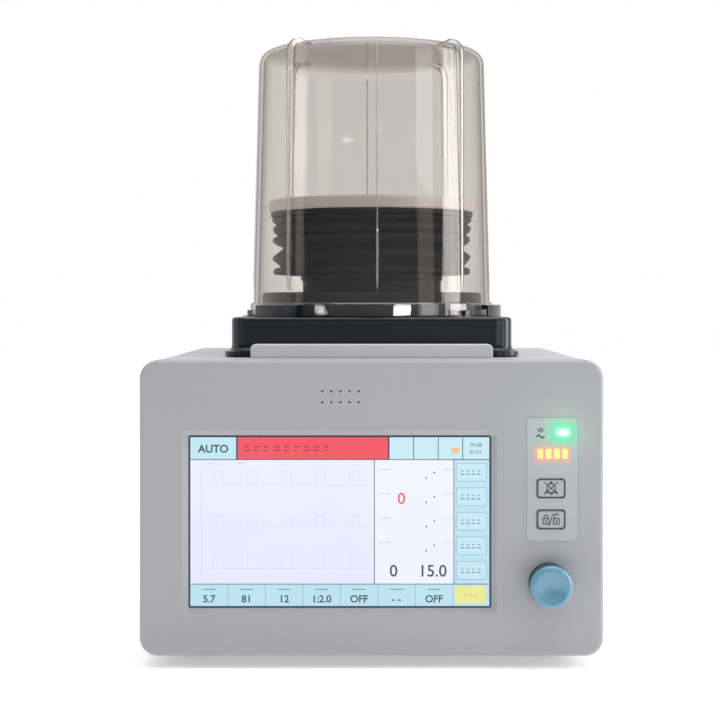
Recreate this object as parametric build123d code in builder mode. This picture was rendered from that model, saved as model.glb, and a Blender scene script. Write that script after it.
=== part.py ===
from build123d import *

import math
import os

os.makedirs("parts", exist_ok=True)

# A tabletop ventilator in millimetres. +X is right, +Y is the rear, +Z is up, and the origin
# is on the table under the middle of the whole object. The front faces -Y.

# Instrument case.
case_width = 306.0
case_height = 195.0
case_corner = 12.0
foot_height = 8.0
foot_radius = 11.0
case_bottom = foot_height
case_top = case_bottom + case_height
case_middle = case_bottom + case_height / 2
panel_front = -140.0
panel_depth = 22.0
panel_back = panel_front + panel_depth
panel_wall = 3.0
plate = 4.0
plate_back = panel_front + plate
front_round = 3.0
seam = 0.3
case_back = 140.0
sheet = 1.6
sheet_inset = 0.5
cover_width = case_width - 2 * sheet_inset
cover_height = case_height - 2 * sheet_inset
cover_front = panel_back + seam
cover_top = case_top - sheet_inset
cover_bottom = case_bottom + sheet_inset
roof_under = cover_top - sheet
floor_top = cover_bottom + sheet
side_inside = cover_width / 2 - sheet
split_height = 38.0
port_end = 158.0

# Rear panel, set into the sheet wrap.
rear_outer = 136.0
rear_sheet = 2.0
rear_inner = rear_outer - rear_sheet
flange_back = rear_inner - 0.2

# Display window and what is behind it.
window_centre = (-21.0, 96.3)
window_width = 207.0
window_height = 121.0
glass_width = 200.0
glass_height = 114.0
glass_margin = 3.0
glass_thickness = 1.8
module_thickness = 8.0
module_front = plate_back + glass_thickness
module_back = module_front + module_thickness
bracket_front = module_back + 0.2
bracket_sheet = 1.2
bracket_back = bracket_front + bracket_sheet
bracket_reach = 112.0
bracket_rise = 45.0
board_front = -112.0
board_sheet = 1.6
board_back = board_front + board_sheet

# Keypad.
film_centre = (118.9, 124.6)
film_width = 33.7
film_height = 81.5
film_corner = 2.0
film_recess = 0.3
film_proud = 0.2
mute_centre = (118.0, 118.8)
lock_centre = (118.0, 98.4)
key_width = 18.7
key_height = 12.8
key_gap = 0.3
key_travel = 0.5
key_front = panel_front - 0.9
lamp_centre = (126.0, 155.5)
lamp_radius = 2.3
bars_centre = (119.1, 141.5)
bar_width = 3.6
bar_height = 6.4
bar_pitch = 5.4
bar_count = 4
switch_front = -133.0
keyboard_front = -131.5
keyboard_sheet = 1.6

# Rotary knob.
knob_centre = (116.5, 56.6)
knob_radius = 14.3
knob_front = -port_end
knob_back = panel_front - 0.9
shaft_radius = 3.0
shaft_fit = 0.05
shaft_back = -128.2
bushing_radius = 4.5
encoder_back = -123.0
plunger_front = shaft_back + 0.3

# Speaker.
speaker_centre = (-20.5, 179.0)
speaker_radius = 18.0
speaker_hole = 0.7
speaker_pitch = (6.0, 7.1)

# Bellows base on the roof.
bellows_y = 30.0
gasket = 1.0
base_bottom = cover_top + gasket
base_width = 199.0
foot_width = 209.0
base_corner = 12.0
base_top = 230.5
base_roof = 4.5
roof_inside = base_top - base_roof
base_wall = 5.0
bar_half = 84.3
bar_front = -83.0
bar_top = 212.0
spill_outer = 40.0
spill_inner = 36.0
spill_flange = 46.0
spill_bottom = 182.0
spill_floor = 188.0
patient_spigot_x = 14.0
exhaust_spigot_x = -22.0
spigot_bottom = 170.0
drive_x = -60.0
drive_bottom = 190.0

# Dome, lock ring and bellows, all about the bellows axis. Angles are measured from the
# front towards +X.
dome_bottom = 231.4
dome_top = 434.5
crown = 432.0
dome_foot_radius = 90.5
dome_head_radius = 86.0
dome_wall = 3.0
dome_round = 9.0
skirt_radius = 93.0
skirt_top = 240.6
tab_radius = 97.0
tab_bottom = 231.6
tab_top = 235.3
tab_angle = 53.5
tab_sweep = 10.0
tab_count = 3
rib_count = 4
rib_angle = 47.5
rib_width = 3.6
rib_face = 90.2
rib_round = 12.0
rib_bottom = 250.0
seam_rib_angle = 2.5
seam_rib_width = 1.6
seam_rib_rise = 0.7
ring_inner = 93.6
ring_outer = 99.0
ring_floor = base_top + 0.6
lug_under = 235.8
lug_top = 239.2
lug_start = 60.0
lug_sweep = 27.0
lug_wall = 97.4
stop_angle = 44.5
stop_sweep = 3.0
seal_radius = 88.0
seal_width = 2.8
seal_bottom = 228.2
seal_top = 231.0
seal_gap = 0.4
seat_radius = 84.0
seat_top = 248.5
neck_radius = 53.0
neck_top = 261.0
bore_radius = 40.0
fold_outer = 77.0
fold_inner = 62.0
fold_wall = 1.4
folds_bottom = neck_top + 0.3
folds_top = 306.0
clamp_top = 309.5
disc_radius = 79.0
disc_top = 318.8

# Rear fittings: each centre is (x, z) on the rear panel.
fan_centre = (95.0, 130.0)
fan_size = 60.0
fan_bore = 28.5
mains_centre = (112.0, 42.0)
rocker_centre = (78.0, 42.0)
fuse_centres = [(54.0, 58.0), (54.0, 38.0)]
earth_centre = (34.0, 42.0)
network_centre = (6.0, 42.0)
patient_centre = (-60.0, 150.0)
exhaust_centre = (-105.0, 150.0)
supply_centre = (-105.0, 62.0)
sensor_centres = [(-38.0, 112.0), (-60.0, 112.0)]
patient_radius = 11.0
exhaust_radius = 9.5
fan_screw_pitch = 50.0
fan_screw_hole = 2.0
mains_body = (28.0, 22.0)
switch_body = (22.0, 28.0)
fuse_radius = 6.0
earth_radius = 3.0
network_body = (17.0, 15.0)
port_body = 12.5
supply_radius = 8.0
sensor_radius = 4.0

# Screws.
small_shank = 1.5
small_head = 2.8
cross_length = 2.8
cross_width = 0.7


def facing(y):
    """Plane across the object at y, facing the front, with x to the right and z up."""
    return Plane(origin=(0, y, 0), x_dir=(1, 0, 0), z_dir=(0, -1, 0))


def facing_rear(y):
    """Plane across the object at y, facing the rear, where the first coordinate is -x."""
    return Plane(origin=(0, y, 0), x_dir=(-1, 0, 0), z_dir=(0, 1, 0))


def write(piece, name):
    """Label a finished piece and write it under its own name."""
    piece.part.label = name
    export_step(piece.part, f"parts/{name}.step")


def turned(centre, outline):
    """Turned piece on an axis along Y through centre (x, z), from its (radius, y) outline."""
    x, z = centre
    with BuildPart() as piece:
        with BuildSketch(Plane(origin=(x, 0, z), x_dir=(1, 0, 0), z_dir=(0, 0, 1))):
            with BuildLine():
                Polyline(*outline, close=True)
            make_face()
        revolve(axis=Axis((x, 0, z), (0, 1, 0)))
    return piece


def turned_upright(centre, outline):
    """Turned piece on an upright axis through centre (x, y), from its (radius, z) outline."""
    x, y = centre
    with BuildPart() as piece:
        with BuildSketch(Plane(origin=(x, y, 0), x_dir=(1, 0, 0), z_dir=(0, -1, 0))):
            with BuildLine():
                Polyline(*outline, close=True)
            make_face()
        revolve(axis=Axis((x, y, 0), (0, 0, 1)))
    return piece


def screws(plane, points, head, head_height, shank, length):
    """Screws with cross-slotted round heads standing on a plane, shanks going into it."""
    with BuildPart() as piece:
        with BuildSketch(plane):
            with Locations(*points):
                Circle(head)
        extrude(amount=head_height)
        with BuildSketch(plane):
            with Locations(*points):
                Circle(shank)
        extrude(amount=-length)
        with BuildSketch(plane.offset(head_height / 2)):
            with Locations(*points):
                Rectangle(cross_length, cross_width)
                Rectangle(cross_width, cross_length)
        extrude(amount=head_height, mode=Mode.SUBTRACT)
    return piece


def sector(inner, outer, start, sweep, bottom, top):
    """Block on a sector of a ring about the Z axis, its start angle measured from the front."""
    first = start - 90
    with BuildPart() as piece:
        with BuildSketch(Plane.XY.offset(bottom)):
            with BuildLine():
                outside = CenterArc((0, 0), outer, first, sweep)
                inside = CenterArc((0, 0), inner, first, sweep)
                Line(outside @ 0, inside @ 0)
                Line(outside @ 1, inside @ 1)
            make_face()
        extrude(amount=top - bottom)
    return piece.part


def hose(route, outer, bore):
    """Hose along straight runs joined by arcs as large as the runs allow."""
    points = [Vector(*point) for point in route]
    radii = []
    for before, corner, after in zip(points, points[1:], points[2:]):
        arriving = corner - before
        leaving = after - corner
        turn = math.radians(arriving.get_angle(leaving))
        shorter = min(arriving.length, leaving.length)
        radii.append(0.45 * shorter / math.tan(turn / 2))
    with BuildPart() as piece:
        with BuildLine() as path:
            FilletPolyline(*points, radius=radii)
        with BuildSketch(Plane(origin=path.line @ 0, z_dir=path.line % 0)):
            Circle(outer)
            Circle(bore, mode=Mode.SUBTRACT)
        sweep()
    swept = math.pi * (outer**2 - bore**2) * path.wire().length
    print("hose radii", [round(radius) for radius in radii])
    print("hose volume over section times length", piece.part.volume / swept)
    return piece


# ---------------------------------------------------------------- front of the case

# Front panel: a moulded tub with a bevelled display window, speaker holes, a shallow recess
# for the keypad film, openings for the keys, lamps and knob bushing, and screw bosses.
boss_x = 138.0
boss_low = 23.0
boss_high = 188.0
boss_radius = 5.0
boss_blind = 4.0
pad_radius = 4.0
pad_drill = 8.0
post_radius = 2.0
window_corner = 4.0
key_corner = 1.8
boss_points = [(x, z) for x in (-boss_x, boss_x) for z in (boss_low, boss_high)]
bracket_points = [
    (window_centre[0] + side * bracket_reach, window_centre[1] + end * bracket_rise)
    for side in (-1, 1)
    for end in (-1, 1)
]
post_points = [(x, z) for x in (106.0, 131.5) for z in (88.5, 162.0)]
with BuildPart() as front_panel:
    with BuildSketch(facing(panel_back)):
        with Locations((0, case_middle)):
            RectangleRounded(case_width, case_height, case_corner)
    extrude(amount=panel_depth)
    fillet(front_panel.faces().sort_by(Axis.Y)[0].edges(), front_round)
    with BuildSketch(facing(panel_back)):
        with Locations((0, case_middle)):
            RectangleRounded(
                case_width - 2 * panel_wall, case_height - 2 * panel_wall, case_corner - panel_wall
            )
    extrude(amount=panel_depth - plate, mode=Mode.SUBTRACT)
    with BuildSketch(facing(panel_front)):
        with Locations(window_centre):
            RectangleRounded(window_width, window_height, window_corner)
    with BuildSketch(facing(plate_back)):
        with Locations(window_centre):
            RectangleRounded(glass_width, glass_height, 1.5)
    loft(mode=Mode.SUBTRACT)
    with BuildSketch(facing(plate_back)):
        with Locations(speaker_centre):
            with GridLocations(*speaker_pitch, 5, 2):
                Circle(speaker_hole)
        with Locations(lamp_centre):
            Circle(lamp_radius + 0.2)
        with Locations(bars_centre):
            Rectangle(bar_count * bar_pitch, bar_height + 0.8)
        with Locations(mute_centre, lock_centre):
            RectangleRounded(key_width + 2 * key_gap, key_height + 2 * key_gap, 2.0)
        with Locations(knob_centre):
            Circle(bushing_radius + 0.2)
    extrude(amount=plate, mode=Mode.SUBTRACT)
    with BuildSketch(facing(panel_front + film_recess)):
        with Locations(film_centre):
            RectangleRounded(film_width + seam, film_height + seam, film_corner + seam / 2)
    extrude(amount=film_recess, mode=Mode.SUBTRACT)
    with BuildSketch(facing(panel_back)):
        with Locations(*boss_points):
            Circle(boss_radius)
    extrude(amount=panel_depth - plate)
    with BuildSketch(facing(bracket_front)):
        with Locations(*bracket_points):
            Circle(pad_radius)
    extrude(amount=bracket_front - plate_back)
    with BuildSketch(facing(keyboard_front)):
        with Locations(*post_points):
            Circle(post_radius)
    extrude(amount=keyboard_front - plate_back)
    with BuildSketch(facing(panel_back)):
        with Locations(*boss_points):
            Circle(small_shank)
    extrude(amount=panel_depth - plate - boss_blind, mode=Mode.SUBTRACT)
    with BuildSketch(facing(bracket_front)):
        with Locations(*bracket_points):
            Circle(small_shank)
    extrude(amount=pad_drill, mode=Mode.SUBTRACT)
write(front_panel, "front_panel")

# Touch glass bonded behind the window.
with BuildPart() as display_glass:
    with BuildSketch(facing(module_front)):
        with Locations(window_centre):
            RectangleRounded(glass_width + 2 * glass_margin, glass_height + 2 * glass_margin, 2.0)
    extrude(amount=glass_thickness)
write(display_glass, "display_glass")

# Display module: a metal tray with a shallow driver board pocket in its back.
module_margin = 2.0
pocket_width = 60.0
pocket_height = 90.0
with BuildPart() as display_module:
    with BuildSketch(facing(module_back)):
        with Locations(window_centre):
            RectangleRounded(glass_width + 2 * module_margin, glass_height + 2 * module_margin, 1.0)
    extrude(amount=module_thickness)
    with BuildSketch(facing(module_back)):
        with Locations((window_centre[0] - pocket_width, window_centre[1])):
            Rectangle(pocket_width, pocket_height)
    extrude(amount=1.0, mode=Mode.SUBTRACT)
write(display_module, "display_module")

# Bracket: a sheet frame that clamps the module against the glass, with four pressed-in
# standoffs that carry the main circuit board.
board_centre = (-21.0, 96.0)
bracket_opening = (130.0, 64.0)
bracket_ear = (18.0, 14.0)
standoff_pitch = (178.0, 98.0)
standoff_radius = 3.0
screw_head_height = 1.8
with BuildPart() as display_bracket:
    with BuildSketch(facing(bracket_back)):
        with Locations(window_centre):
            Rectangle(glass_width + 2 * glass_margin, glass_height + 2 * glass_margin)
        with Locations(*bracket_points):
            RectangleRounded(*bracket_ear, 3.0)
        with Locations(window_centre):
            Rectangle(*bracket_opening, mode=Mode.SUBTRACT)
        with Locations(*bracket_points):
            Circle(small_shank, mode=Mode.SUBTRACT)
    extrude(amount=bracket_sheet)
    with BuildSketch(facing(board_front)):
        with Locations(board_centre):
            with GridLocations(*standoff_pitch, 2, 2):
                RegularPolygon(standoff_radius, 6)
    extrude(amount=board_front - bracket_back)
write(display_bracket, "display_bracket")

bracket_screws = screws(
    facing_rear(bracket_back),
    [(-x, z) for x, z in bracket_points],
    small_head,
    screw_head_height,
    small_shank,
    bracket_sheet + pad_drill - 0.5,
)

# Main circuit board with its processor, converters and connectors.
board_size = (190.0, 110.0)
chip_height = 2.4
tall_part_height = 11.0
with BuildPart() as main_board:
    with BuildSketch(facing(board_back)):
        with Locations(board_centre):
            Rectangle(*board_size)
    extrude(amount=board_sheet)
    with BuildSketch(facing_rear(board_back)):
        with Locations((21.0, 100.0)):
            Rectangle(26.0, 26.0)
        with Locations((-20.0, 110.0), (60.0, 110.0)):
            Rectangle(16.0, 12.0)
        with Locations((70.0, 70.0)):
            with GridLocations(0.0, 11.0, 1, 3):
                Rectangle(20.0, 7.0)
    extrude(amount=chip_height)
    with BuildSketch(facing_rear(board_back)):
        with Locations((-40.0, 60.0)):
            with GridLocations(14.0, 14.0, 3, 2):
                Circle(5.0)
        with Locations((21.0, 52.0)):
            Rectangle(44.0, 9.0)
    extrude(amount=tall_part_height)
write(main_board, "main_board")

# Flat cable from the module to the main board, bent in an easy step.
cable_width = 30.0
cable_sheet = 0.4
cable_bend = 2.2
cable_upper = 96.0
cable_lower = 84.0
cable_side = window_centre[0] - cable_width / 2
with BuildPart() as ribbon_cable:
    with BuildSketch(Plane(origin=(cable_side, 0, 0), x_dir=(0, 1, 0), z_dir=(1, 0, 0))):
        with BuildLine() as cable_path:
            FilletPolyline(
                (module_back, cable_upper),
                (module_back + 4.7, cable_upper),
                (board_front - 6.5, cable_lower),
                (board_front, cable_lower),
                radius=cable_bend,
            )
            offset(amount=cable_sheet, side=Side.LEFT)
        make_face()
    extrude(amount=cable_width)
write(ribbon_cable, "ribbon_cable")

# Speaker with a steel basket and a magnet behind the sound holes.
cone_radius = 15.0
magnet_radius = 11.0
magnet_back = plate_back + 14.0
speaker = turned(
    speaker_centre,
    [
        (0, plate_back + 3),
        (6, plate_back + 3),
        (cone_radius, plate_back + 0.2),
        (cone_radius, plate_back),
        (speaker_radius, plate_back),
        (speaker_radius, plate_back + 2),
        (cone_radius, plate_back + 3),
        (magnet_radius, plate_back + 8),
        (magnet_radius, magnet_back),
        (0, magnet_back),
    ],
)
write(speaker, "speaker")

# ---------------------------------------------------------------- keypad and knob

# Keypad film with openings round the keys and over the lamps.
with BuildPart() as keypad_film:
    with BuildSketch(facing(panel_front + film_recess)):
        with Locations(film_centre):
            RectangleRounded(film_width, film_height, film_corner)
        with Locations(mute_centre, lock_centre):
            RectangleRounded(
                key_width + 2 * key_gap, key_height + 2 * key_gap, 2.0, mode=Mode.SUBTRACT
            )
        with Locations(lamp_centre):
            Circle(lamp_radius + 0.1, mode=Mode.SUBTRACT)
        with Locations(bars_centre):
            with GridLocations(bar_pitch, 0, bar_count, 1):
                Rectangle(bar_width + 0.1, bar_height + 0.1, mode=Mode.SUBTRACT)
    extrude(amount=film_recess + film_proud)
write(keypad_film, "keypad_film")


key_flange = 1.0
key_flange_reach = 1.2
key_stem = 2.5
key_flange_front = plate_back + key_gap
key_stem_back = switch_front - key_travel - key_gap


def key(centre):
    """Key cap with a rear flange that keeps it in, and a stem over its switch."""
    with BuildPart() as piece:
        with BuildSketch(facing(key_flange_front)):
            with Locations(centre):
                RectangleRounded(key_width, key_height, key_corner)
        extrude(amount=key_flange_front - key_front)
        fillet(piece.faces().sort_by(Axis.Y)[0].edges(), 0.4)
        with BuildSketch(facing(key_flange_front + key_flange)):
            with Locations(centre):
                RectangleRounded(
                    key_width + 2 * key_flange_reach, key_height + 2 * key_flange_reach, 2.0
                )
        extrude(amount=key_flange)
        with BuildSketch(facing(key_stem_back)):
            with Locations(centre):
                Circle(key_stem)
        extrude(amount=key_stem_back - key_flange_front - key_flange + key_gap)
    return piece


mute_key = key(mute_centre)
write(mute_key, "mute_key")
lock_key = key(lock_centre)
write(lock_key, "lock_key")

# Keypad circuit board with a push switch behind each key.
keyboard_middle = 125.2
keyboard_size = (31.0, 79.0)
switch_radius = 3.0
with BuildPart() as keypad_board:
    with BuildSketch(facing(keyboard_front + keyboard_sheet)):
        with Locations((film_centre[0], keyboard_middle)):
            Rectangle(*keyboard_size)
        with Locations(*post_points):
            Circle(post_radius / 2, mode=Mode.SUBTRACT)
    extrude(amount=keyboard_sheet)
    with BuildSketch(facing(keyboard_front)):
        with Locations(mute_centre, lock_centre):
            Circle(switch_radius)
    extrude(amount=keyboard_front - switch_front)
write(keypad_board, "keypad_board")

# Mains lamp: a domed light guide from the board to just proud of the film.
lamp_proud = 1.0
lamp_round = 0.9
with BuildPart() as mains_lamp:
    with BuildSketch(facing(keyboard_front)):
        with Locations(lamp_centre):
            Circle(lamp_radius)
    extrude(amount=keyboard_front - panel_front + lamp_proud)
    fillet(mains_lamp.faces().sort_by(Axis.Y)[0].edges(), lamp_round)
write(mains_lamp, "mains_lamp")

# Battery bars: four light guides flush with the film.
with BuildPart() as battery_bars:
    with BuildSketch(facing(keyboard_front)):
        with Locations(bars_centre):
            with GridLocations(bar_pitch, 0, bar_count, 1):
                Rectangle(bar_width, bar_height)
    extrude(amount=keyboard_front - panel_front + film_proud)
write(battery_bars, "battery_bars")

# Rotary encoder: a square body behind the panel, and a bushing through it that carries
# its tightened nut.
encoder_width = 14.0
bushing_proud = 3.2
bushing_depth = encoder_back - panel_front + bushing_proud
nut_radius = 6.6
nut_height = 2.0
thread_depth = 0.5
encoder_floor = 1.5
with BuildPart() as encoder_body:
    with BuildSketch(facing(encoder_back)):
        with Locations(knob_centre):
            RectangleRounded(encoder_width, encoder_width, 1.0)
    extrude(amount=encoder_back - plate_back)
    with BuildSketch(facing(encoder_back)):
        with Locations(knob_centre):
            Circle(bushing_radius)
    extrude(amount=bushing_depth)
    with BuildSketch(facing(encoder_back - encoder_floor)):
        with Locations(knob_centre):
            Circle(shaft_radius + shaft_fit)
    extrude(amount=bushing_depth, mode=Mode.SUBTRACT)
    with BuildSketch(facing(panel_front)):
        with Locations(knob_centre):
            RegularPolygon(nut_radius, 6)
            Circle(bushing_radius - thread_depth, mode=Mode.SUBTRACT)
    extrude(amount=nut_height)
write(encoder_body, "encoder_body")

# Plunger of the push switch, behind the end of the shaft.
plunger_radius = 2.6
plunger_length = 1.6
with BuildPart() as encoder_plunger:
    with BuildSketch(facing(plunger_front + plunger_length)):
        with Locations(knob_centre):
            Circle(plunger_radius)
    extrude(amount=plunger_length)
write(encoder_plunger, "encoder_plunger")

# Shaft with a flat where the knob grips it.
grip_back = -147.5
grip_flat = 1.4
grip_length = 10.0
shaft_front = knob_front + 5.0
with BuildPart() as encoder_shaft:
    with BuildSketch(facing(shaft_back)):
        with Locations(knob_centre):
            Circle(shaft_radius)
    extrude(amount=shaft_back - shaft_front)
    with BuildSketch(facing(grip_back)):
        with Locations((knob_centre[0], knob_centre[1] + shaft_radius)):
            Rectangle(2 * shaft_radius, grip_flat)
    extrude(amount=grip_length, mode=Mode.SUBTRACT)
write(encoder_shaft, "encoder_shaft")

# Knob: a smooth cap with a dished face, a rounded rim and a hollow behind it.
dish_depth = 2.6
dish_radius = 10.4
rim_height = 3.6
skirt_inside = 11.0
with BuildPart() as knob:
    knob_x, knob_z = knob_centre
    with BuildSketch(Plane(origin=(knob_x, 0, knob_z), x_dir=(1, 0, 0), z_dir=(0, 0, 1))):
        with BuildLine():
            dish = ThreePointArc(
                (0, knob_front + dish_depth), (5.4, knob_front + 1.9), (dish_radius, knob_front)
            )
            rim = TangentArc(
                dish @ 1, (knob_radius - 0.5, knob_front + rim_height), tangent=(1, 0)
            )
            Polyline(
                rim @ 1,
                (knob_radius, knob_back - 1.0),
                (knob_radius - 0.6, knob_back),
                (skirt_inside, knob_back),
                (skirt_inside, grip_back),
                (0, grip_back),
                dish @ 0,
            )
        make_face()
    revolve(axis=Axis((knob_x, 0, knob_z), (0, 1, 0)))
    with BuildSketch(facing(grip_back)):
        with Locations(knob_centre):
            Circle(shaft_radius)
        with Locations((knob_centre[0], knob_centre[1] + shaft_radius)):
            Rectangle(2 * shaft_radius, grip_flat, mode=Mode.SUBTRACT)
    extrude(amount=grip_back - shaft_front, mode=Mode.SUBTRACT)
write(knob, "knob")

# ---------------------------------------------------------------- sheet case

# Cover: a folded sheet roof and sides with openings for the bellows base, screw holes,
# intake slots in both sides and a return flange at the rear.
side_screw_y = (-95.0, -25.0, 45.0, 115.0)
side_screw_z = 46.0
base_screw_points = [
    (x, bellows_y + y) for x in (-86.0, 86.0) for y in (-86.0, 86.0)
]
bar_screw_points = [(x, bar_front + 4.0) for x in (-60.0, 60.0)]
rear_screw_x = (-120.0, 0.0, 120.0)
rear_screw_top = [(x, 193.0) for x in rear_screw_x]
rear_screw_low = [(x, 18.0) for x in rear_screw_x]
vent_centre = (40.0, 130.0)
vent_pitch = 7.0
vent_count = 12
vent_slot = (46.0, 2.6)
drive_hole = 11.0
base_screw_hole = 2.7


def wrap_section(low, high):
    """Closed sheet section of the case between two heights."""
    with Locations((0, case_middle)):
        RectangleRounded(cover_width, cover_height, case_corner)
        RectangleRounded(
            cover_width - 2 * sheet, cover_height - 2 * sheet, case_corner - sheet, mode=Mode.SUBTRACT
        )
    with Locations((0, (low + high) / 2)):
        Rectangle(case_width, high - low, mode=Mode.INTERSECT)


with BuildPart() as top_cover:
    with BuildSketch(facing(case_back)):
        wrap_section(split_height + seam / 2, case_top)
    extrude(amount=case_back - cover_front)
    with BuildSketch(facing(flange_back)):
        with Locations((0, roof_under - 6.0)):
            Rectangle(2 * side_inside - 30, 12.4)
    extrude(amount=sheet)
    with BuildSketch(facing(flange_back)):
        with Locations(*rear_screw_top):
            Circle(small_shank)
    extrude(amount=sheet, mode=Mode.SUBTRACT)
    with BuildSketch(Plane.XY.offset(roof_under)):
        with Locations((0, bellows_y)):
            Circle(spill_flange + 1)
        with Locations((drive_x, bellows_y)):
            Circle(drive_hole)
        with Locations(*base_screw_points):
            Circle(base_screw_hole)
        with Locations(*bar_screw_points):
            Circle(small_shank + 0.2)
    extrude(amount=sheet, mode=Mode.SUBTRACT)
    with BuildSketch(Plane.YZ.offset(-case_width / 2)):
        with Locations(*[(y, side_screw_z) for y in side_screw_y]):
            Circle(small_shank)
        with Locations(vent_centre):
            with GridLocations(vent_pitch, 0, vent_count, 1):
                SlotOverall(*vent_slot, rotation=90)
    extrude(amount=case_width, mode=Mode.SUBTRACT)
write(top_cover, "top_cover")

# Tray: the floor with rounded edges, side lips inside the cover, front and rear flanges,
# and four threaded bushes for a trolley or a shelf plate.
bush_points = [(x, 10.0 + y) for x in (-50.0, 50.0) for y in (-50.0, 50.0)]
foot_points = [(x, y) for x in (-125.0, 125.0) for y in (-92.0, 108.0)]
lip_top = 52.0
lip_sheet = 1.5
lip_low = 33.5
bush_radius = 2.5
bush_outer = 6.5
bush_height = 7.0
flange_top = 26.0
peg_radius = 2.0
with BuildPart() as tray:
    with BuildSketch(facing(case_back)):
        wrap_section(case_bottom, split_height - seam / 2)
    extrude(amount=case_back - cover_front)
    with BuildSketch(facing(flange_back)):
        for side in (-1, 1):
            with Locations((side * (side_inside - lip_sheet / 2), lip_low)):
                Rectangle(lip_sheet, split_height - seam - lip_low + 4)
            with Locations((side * (side_inside - lip_sheet / 2 - 0.2), (34.0 + lip_top) / 2)):
                Rectangle(lip_sheet, lip_top - 34.0)
    extrude(amount=flange_back - cover_front)
    with BuildSketch(facing(flange_back), facing(cover_front + sheet)):
        with Locations((0, (floor_top + flange_top) / 2)):
            Rectangle(2 * side_inside - 2, flange_top - floor_top + 0.4)
    extrude(amount=sheet)
    with BuildSketch(facing(flange_back)):
        with Locations(*rear_screw_low):
            Circle(small_shank)
    extrude(amount=sheet, mode=Mode.SUBTRACT)
    with BuildSketch(facing(cover_front + sheet)):
        with Locations((-boss_x, boss_low), (boss_x, boss_low)):
            Circle(small_shank + 0.2)
    extrude(amount=sheet, mode=Mode.SUBTRACT)
    with BuildSketch(Plane.YZ.offset(-case_width / 2)):
        with Locations(*[(y, side_screw_z) for y in side_screw_y]):
            Circle(small_shank)
    extrude(amount=case_width, mode=Mode.SUBTRACT)
    with BuildSketch(Plane.XY.offset(cover_bottom)):
        with Locations(*foot_points):
            Circle(peg_radius)
    extrude(amount=sheet, mode=Mode.SUBTRACT)
    with BuildSketch(Plane.XY.offset(floor_top)):
        with Locations(*bush_points):
            Circle(bush_outer)
    extrude(amount=bush_height)
    with BuildSketch(Plane.XY.offset(cover_bottom)):
        with Locations(*bush_points):
            Circle(bush_radius)
    extrude(amount=sheet + bush_height, mode=Mode.SUBTRACT)
write(tray, "tray")

# Feet: rubber pads with a peg pushed through the floor.
with BuildPart() as feet:
    with BuildSketch(Plane.XY):
        with Locations(*foot_points):
            Circle(foot_radius)
    extrude(amount=cover_bottom, taper=4)
    with BuildSketch(Plane.XY.offset(cover_bottom)):
        with Locations(*foot_points):
            Circle(peg_radius)
    extrude(amount=sheet)
write(feet, "feet")

# Rear panel with an opening for each fitting.
with BuildPart() as rear_panel:
    with BuildSketch(facing(rear_outer)):
        with Locations((0, case_middle)):
            RectangleRounded(2 * side_inside - 0.6, cover_height - 2 * sheet - 0.6, case_corner - sheet)
        with Locations(fan_centre):
            Circle(fan_bore, mode=Mode.SUBTRACT)
            with GridLocations(fan_screw_pitch, fan_screw_pitch, 2, 2):
                Circle(fan_screw_hole, mode=Mode.SUBTRACT)
        with Locations(mains_centre):
            Rectangle(*mains_body, mode=Mode.SUBTRACT)
        with Locations(rocker_centre):
            Rectangle(*switch_body, mode=Mode.SUBTRACT)
        with Locations(*fuse_centres):
            Circle(fuse_radius, mode=Mode.SUBTRACT)
        with Locations(earth_centre):
            Circle(earth_radius, mode=Mode.SUBTRACT)
        with Locations(network_centre):
            Rectangle(*network_body, mode=Mode.SUBTRACT)
        with Locations(patient_centre, exhaust_centre):
            Circle(port_body, mode=Mode.SUBTRACT)
        with Locations(supply_centre):
            Circle(supply_radius, mode=Mode.SUBTRACT)
        with Locations(*sensor_centres):
            Circle(sensor_radius, mode=Mode.SUBTRACT)
        with Locations(*rear_screw_top, *rear_screw_low):
            Circle(small_shank, mode=Mode.SUBTRACT)
    extrude(amount=rear_sheet)
write(rear_panel, "rear_panel")

screw_grip = 5.0
rear_screws = screws(
    facing_rear(rear_outer),
    [(-x, z) for x, z in rear_screw_top + rear_screw_low],
    small_head,
    screw_head_height,
    small_shank,
    rear_sheet + screw_grip,
)

# ---------------------------------------------------------------- rear fittings

# Fan housing: a square frame with a bore, and three struts to the motor cup.
fan_depth = 20.0
fan_front = rear_inner - fan_depth
strut_sheet = 2.5
motor_cup = 12.0
pin_radius = 1.5
with BuildPart() as fan_housing:
    with BuildSketch(facing(rear_inner)):
        with Locations(fan_centre):
            RectangleRounded(fan_size, fan_size, 4.0)
            Circle(fan_bore, mode=Mode.SUBTRACT)
            with GridLocations(fan_screw_pitch, fan_screw_pitch, 2, 2):
                Circle(fan_screw_hole, mode=Mode.SUBTRACT)
    extrude(amount=fan_depth)
    with BuildSketch(facing(fan_front + strut_sheet)):
        with Locations(fan_centre):
            Circle(motor_cup)
            with PolarLocations(20.0, 3, start_angle=90):
                Rectangle(18.0, 3.0)
    extrude(amount=strut_sheet)
    with BuildSketch(facing(fan_front + strut_sheet)):
        with Locations(fan_centre):
            Circle(pin_radius + shaft_fit)
    extrude(amount=strut_sheet, mode=Mode.SUBTRACT)
write(fan_housing, "fan_housing")

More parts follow.
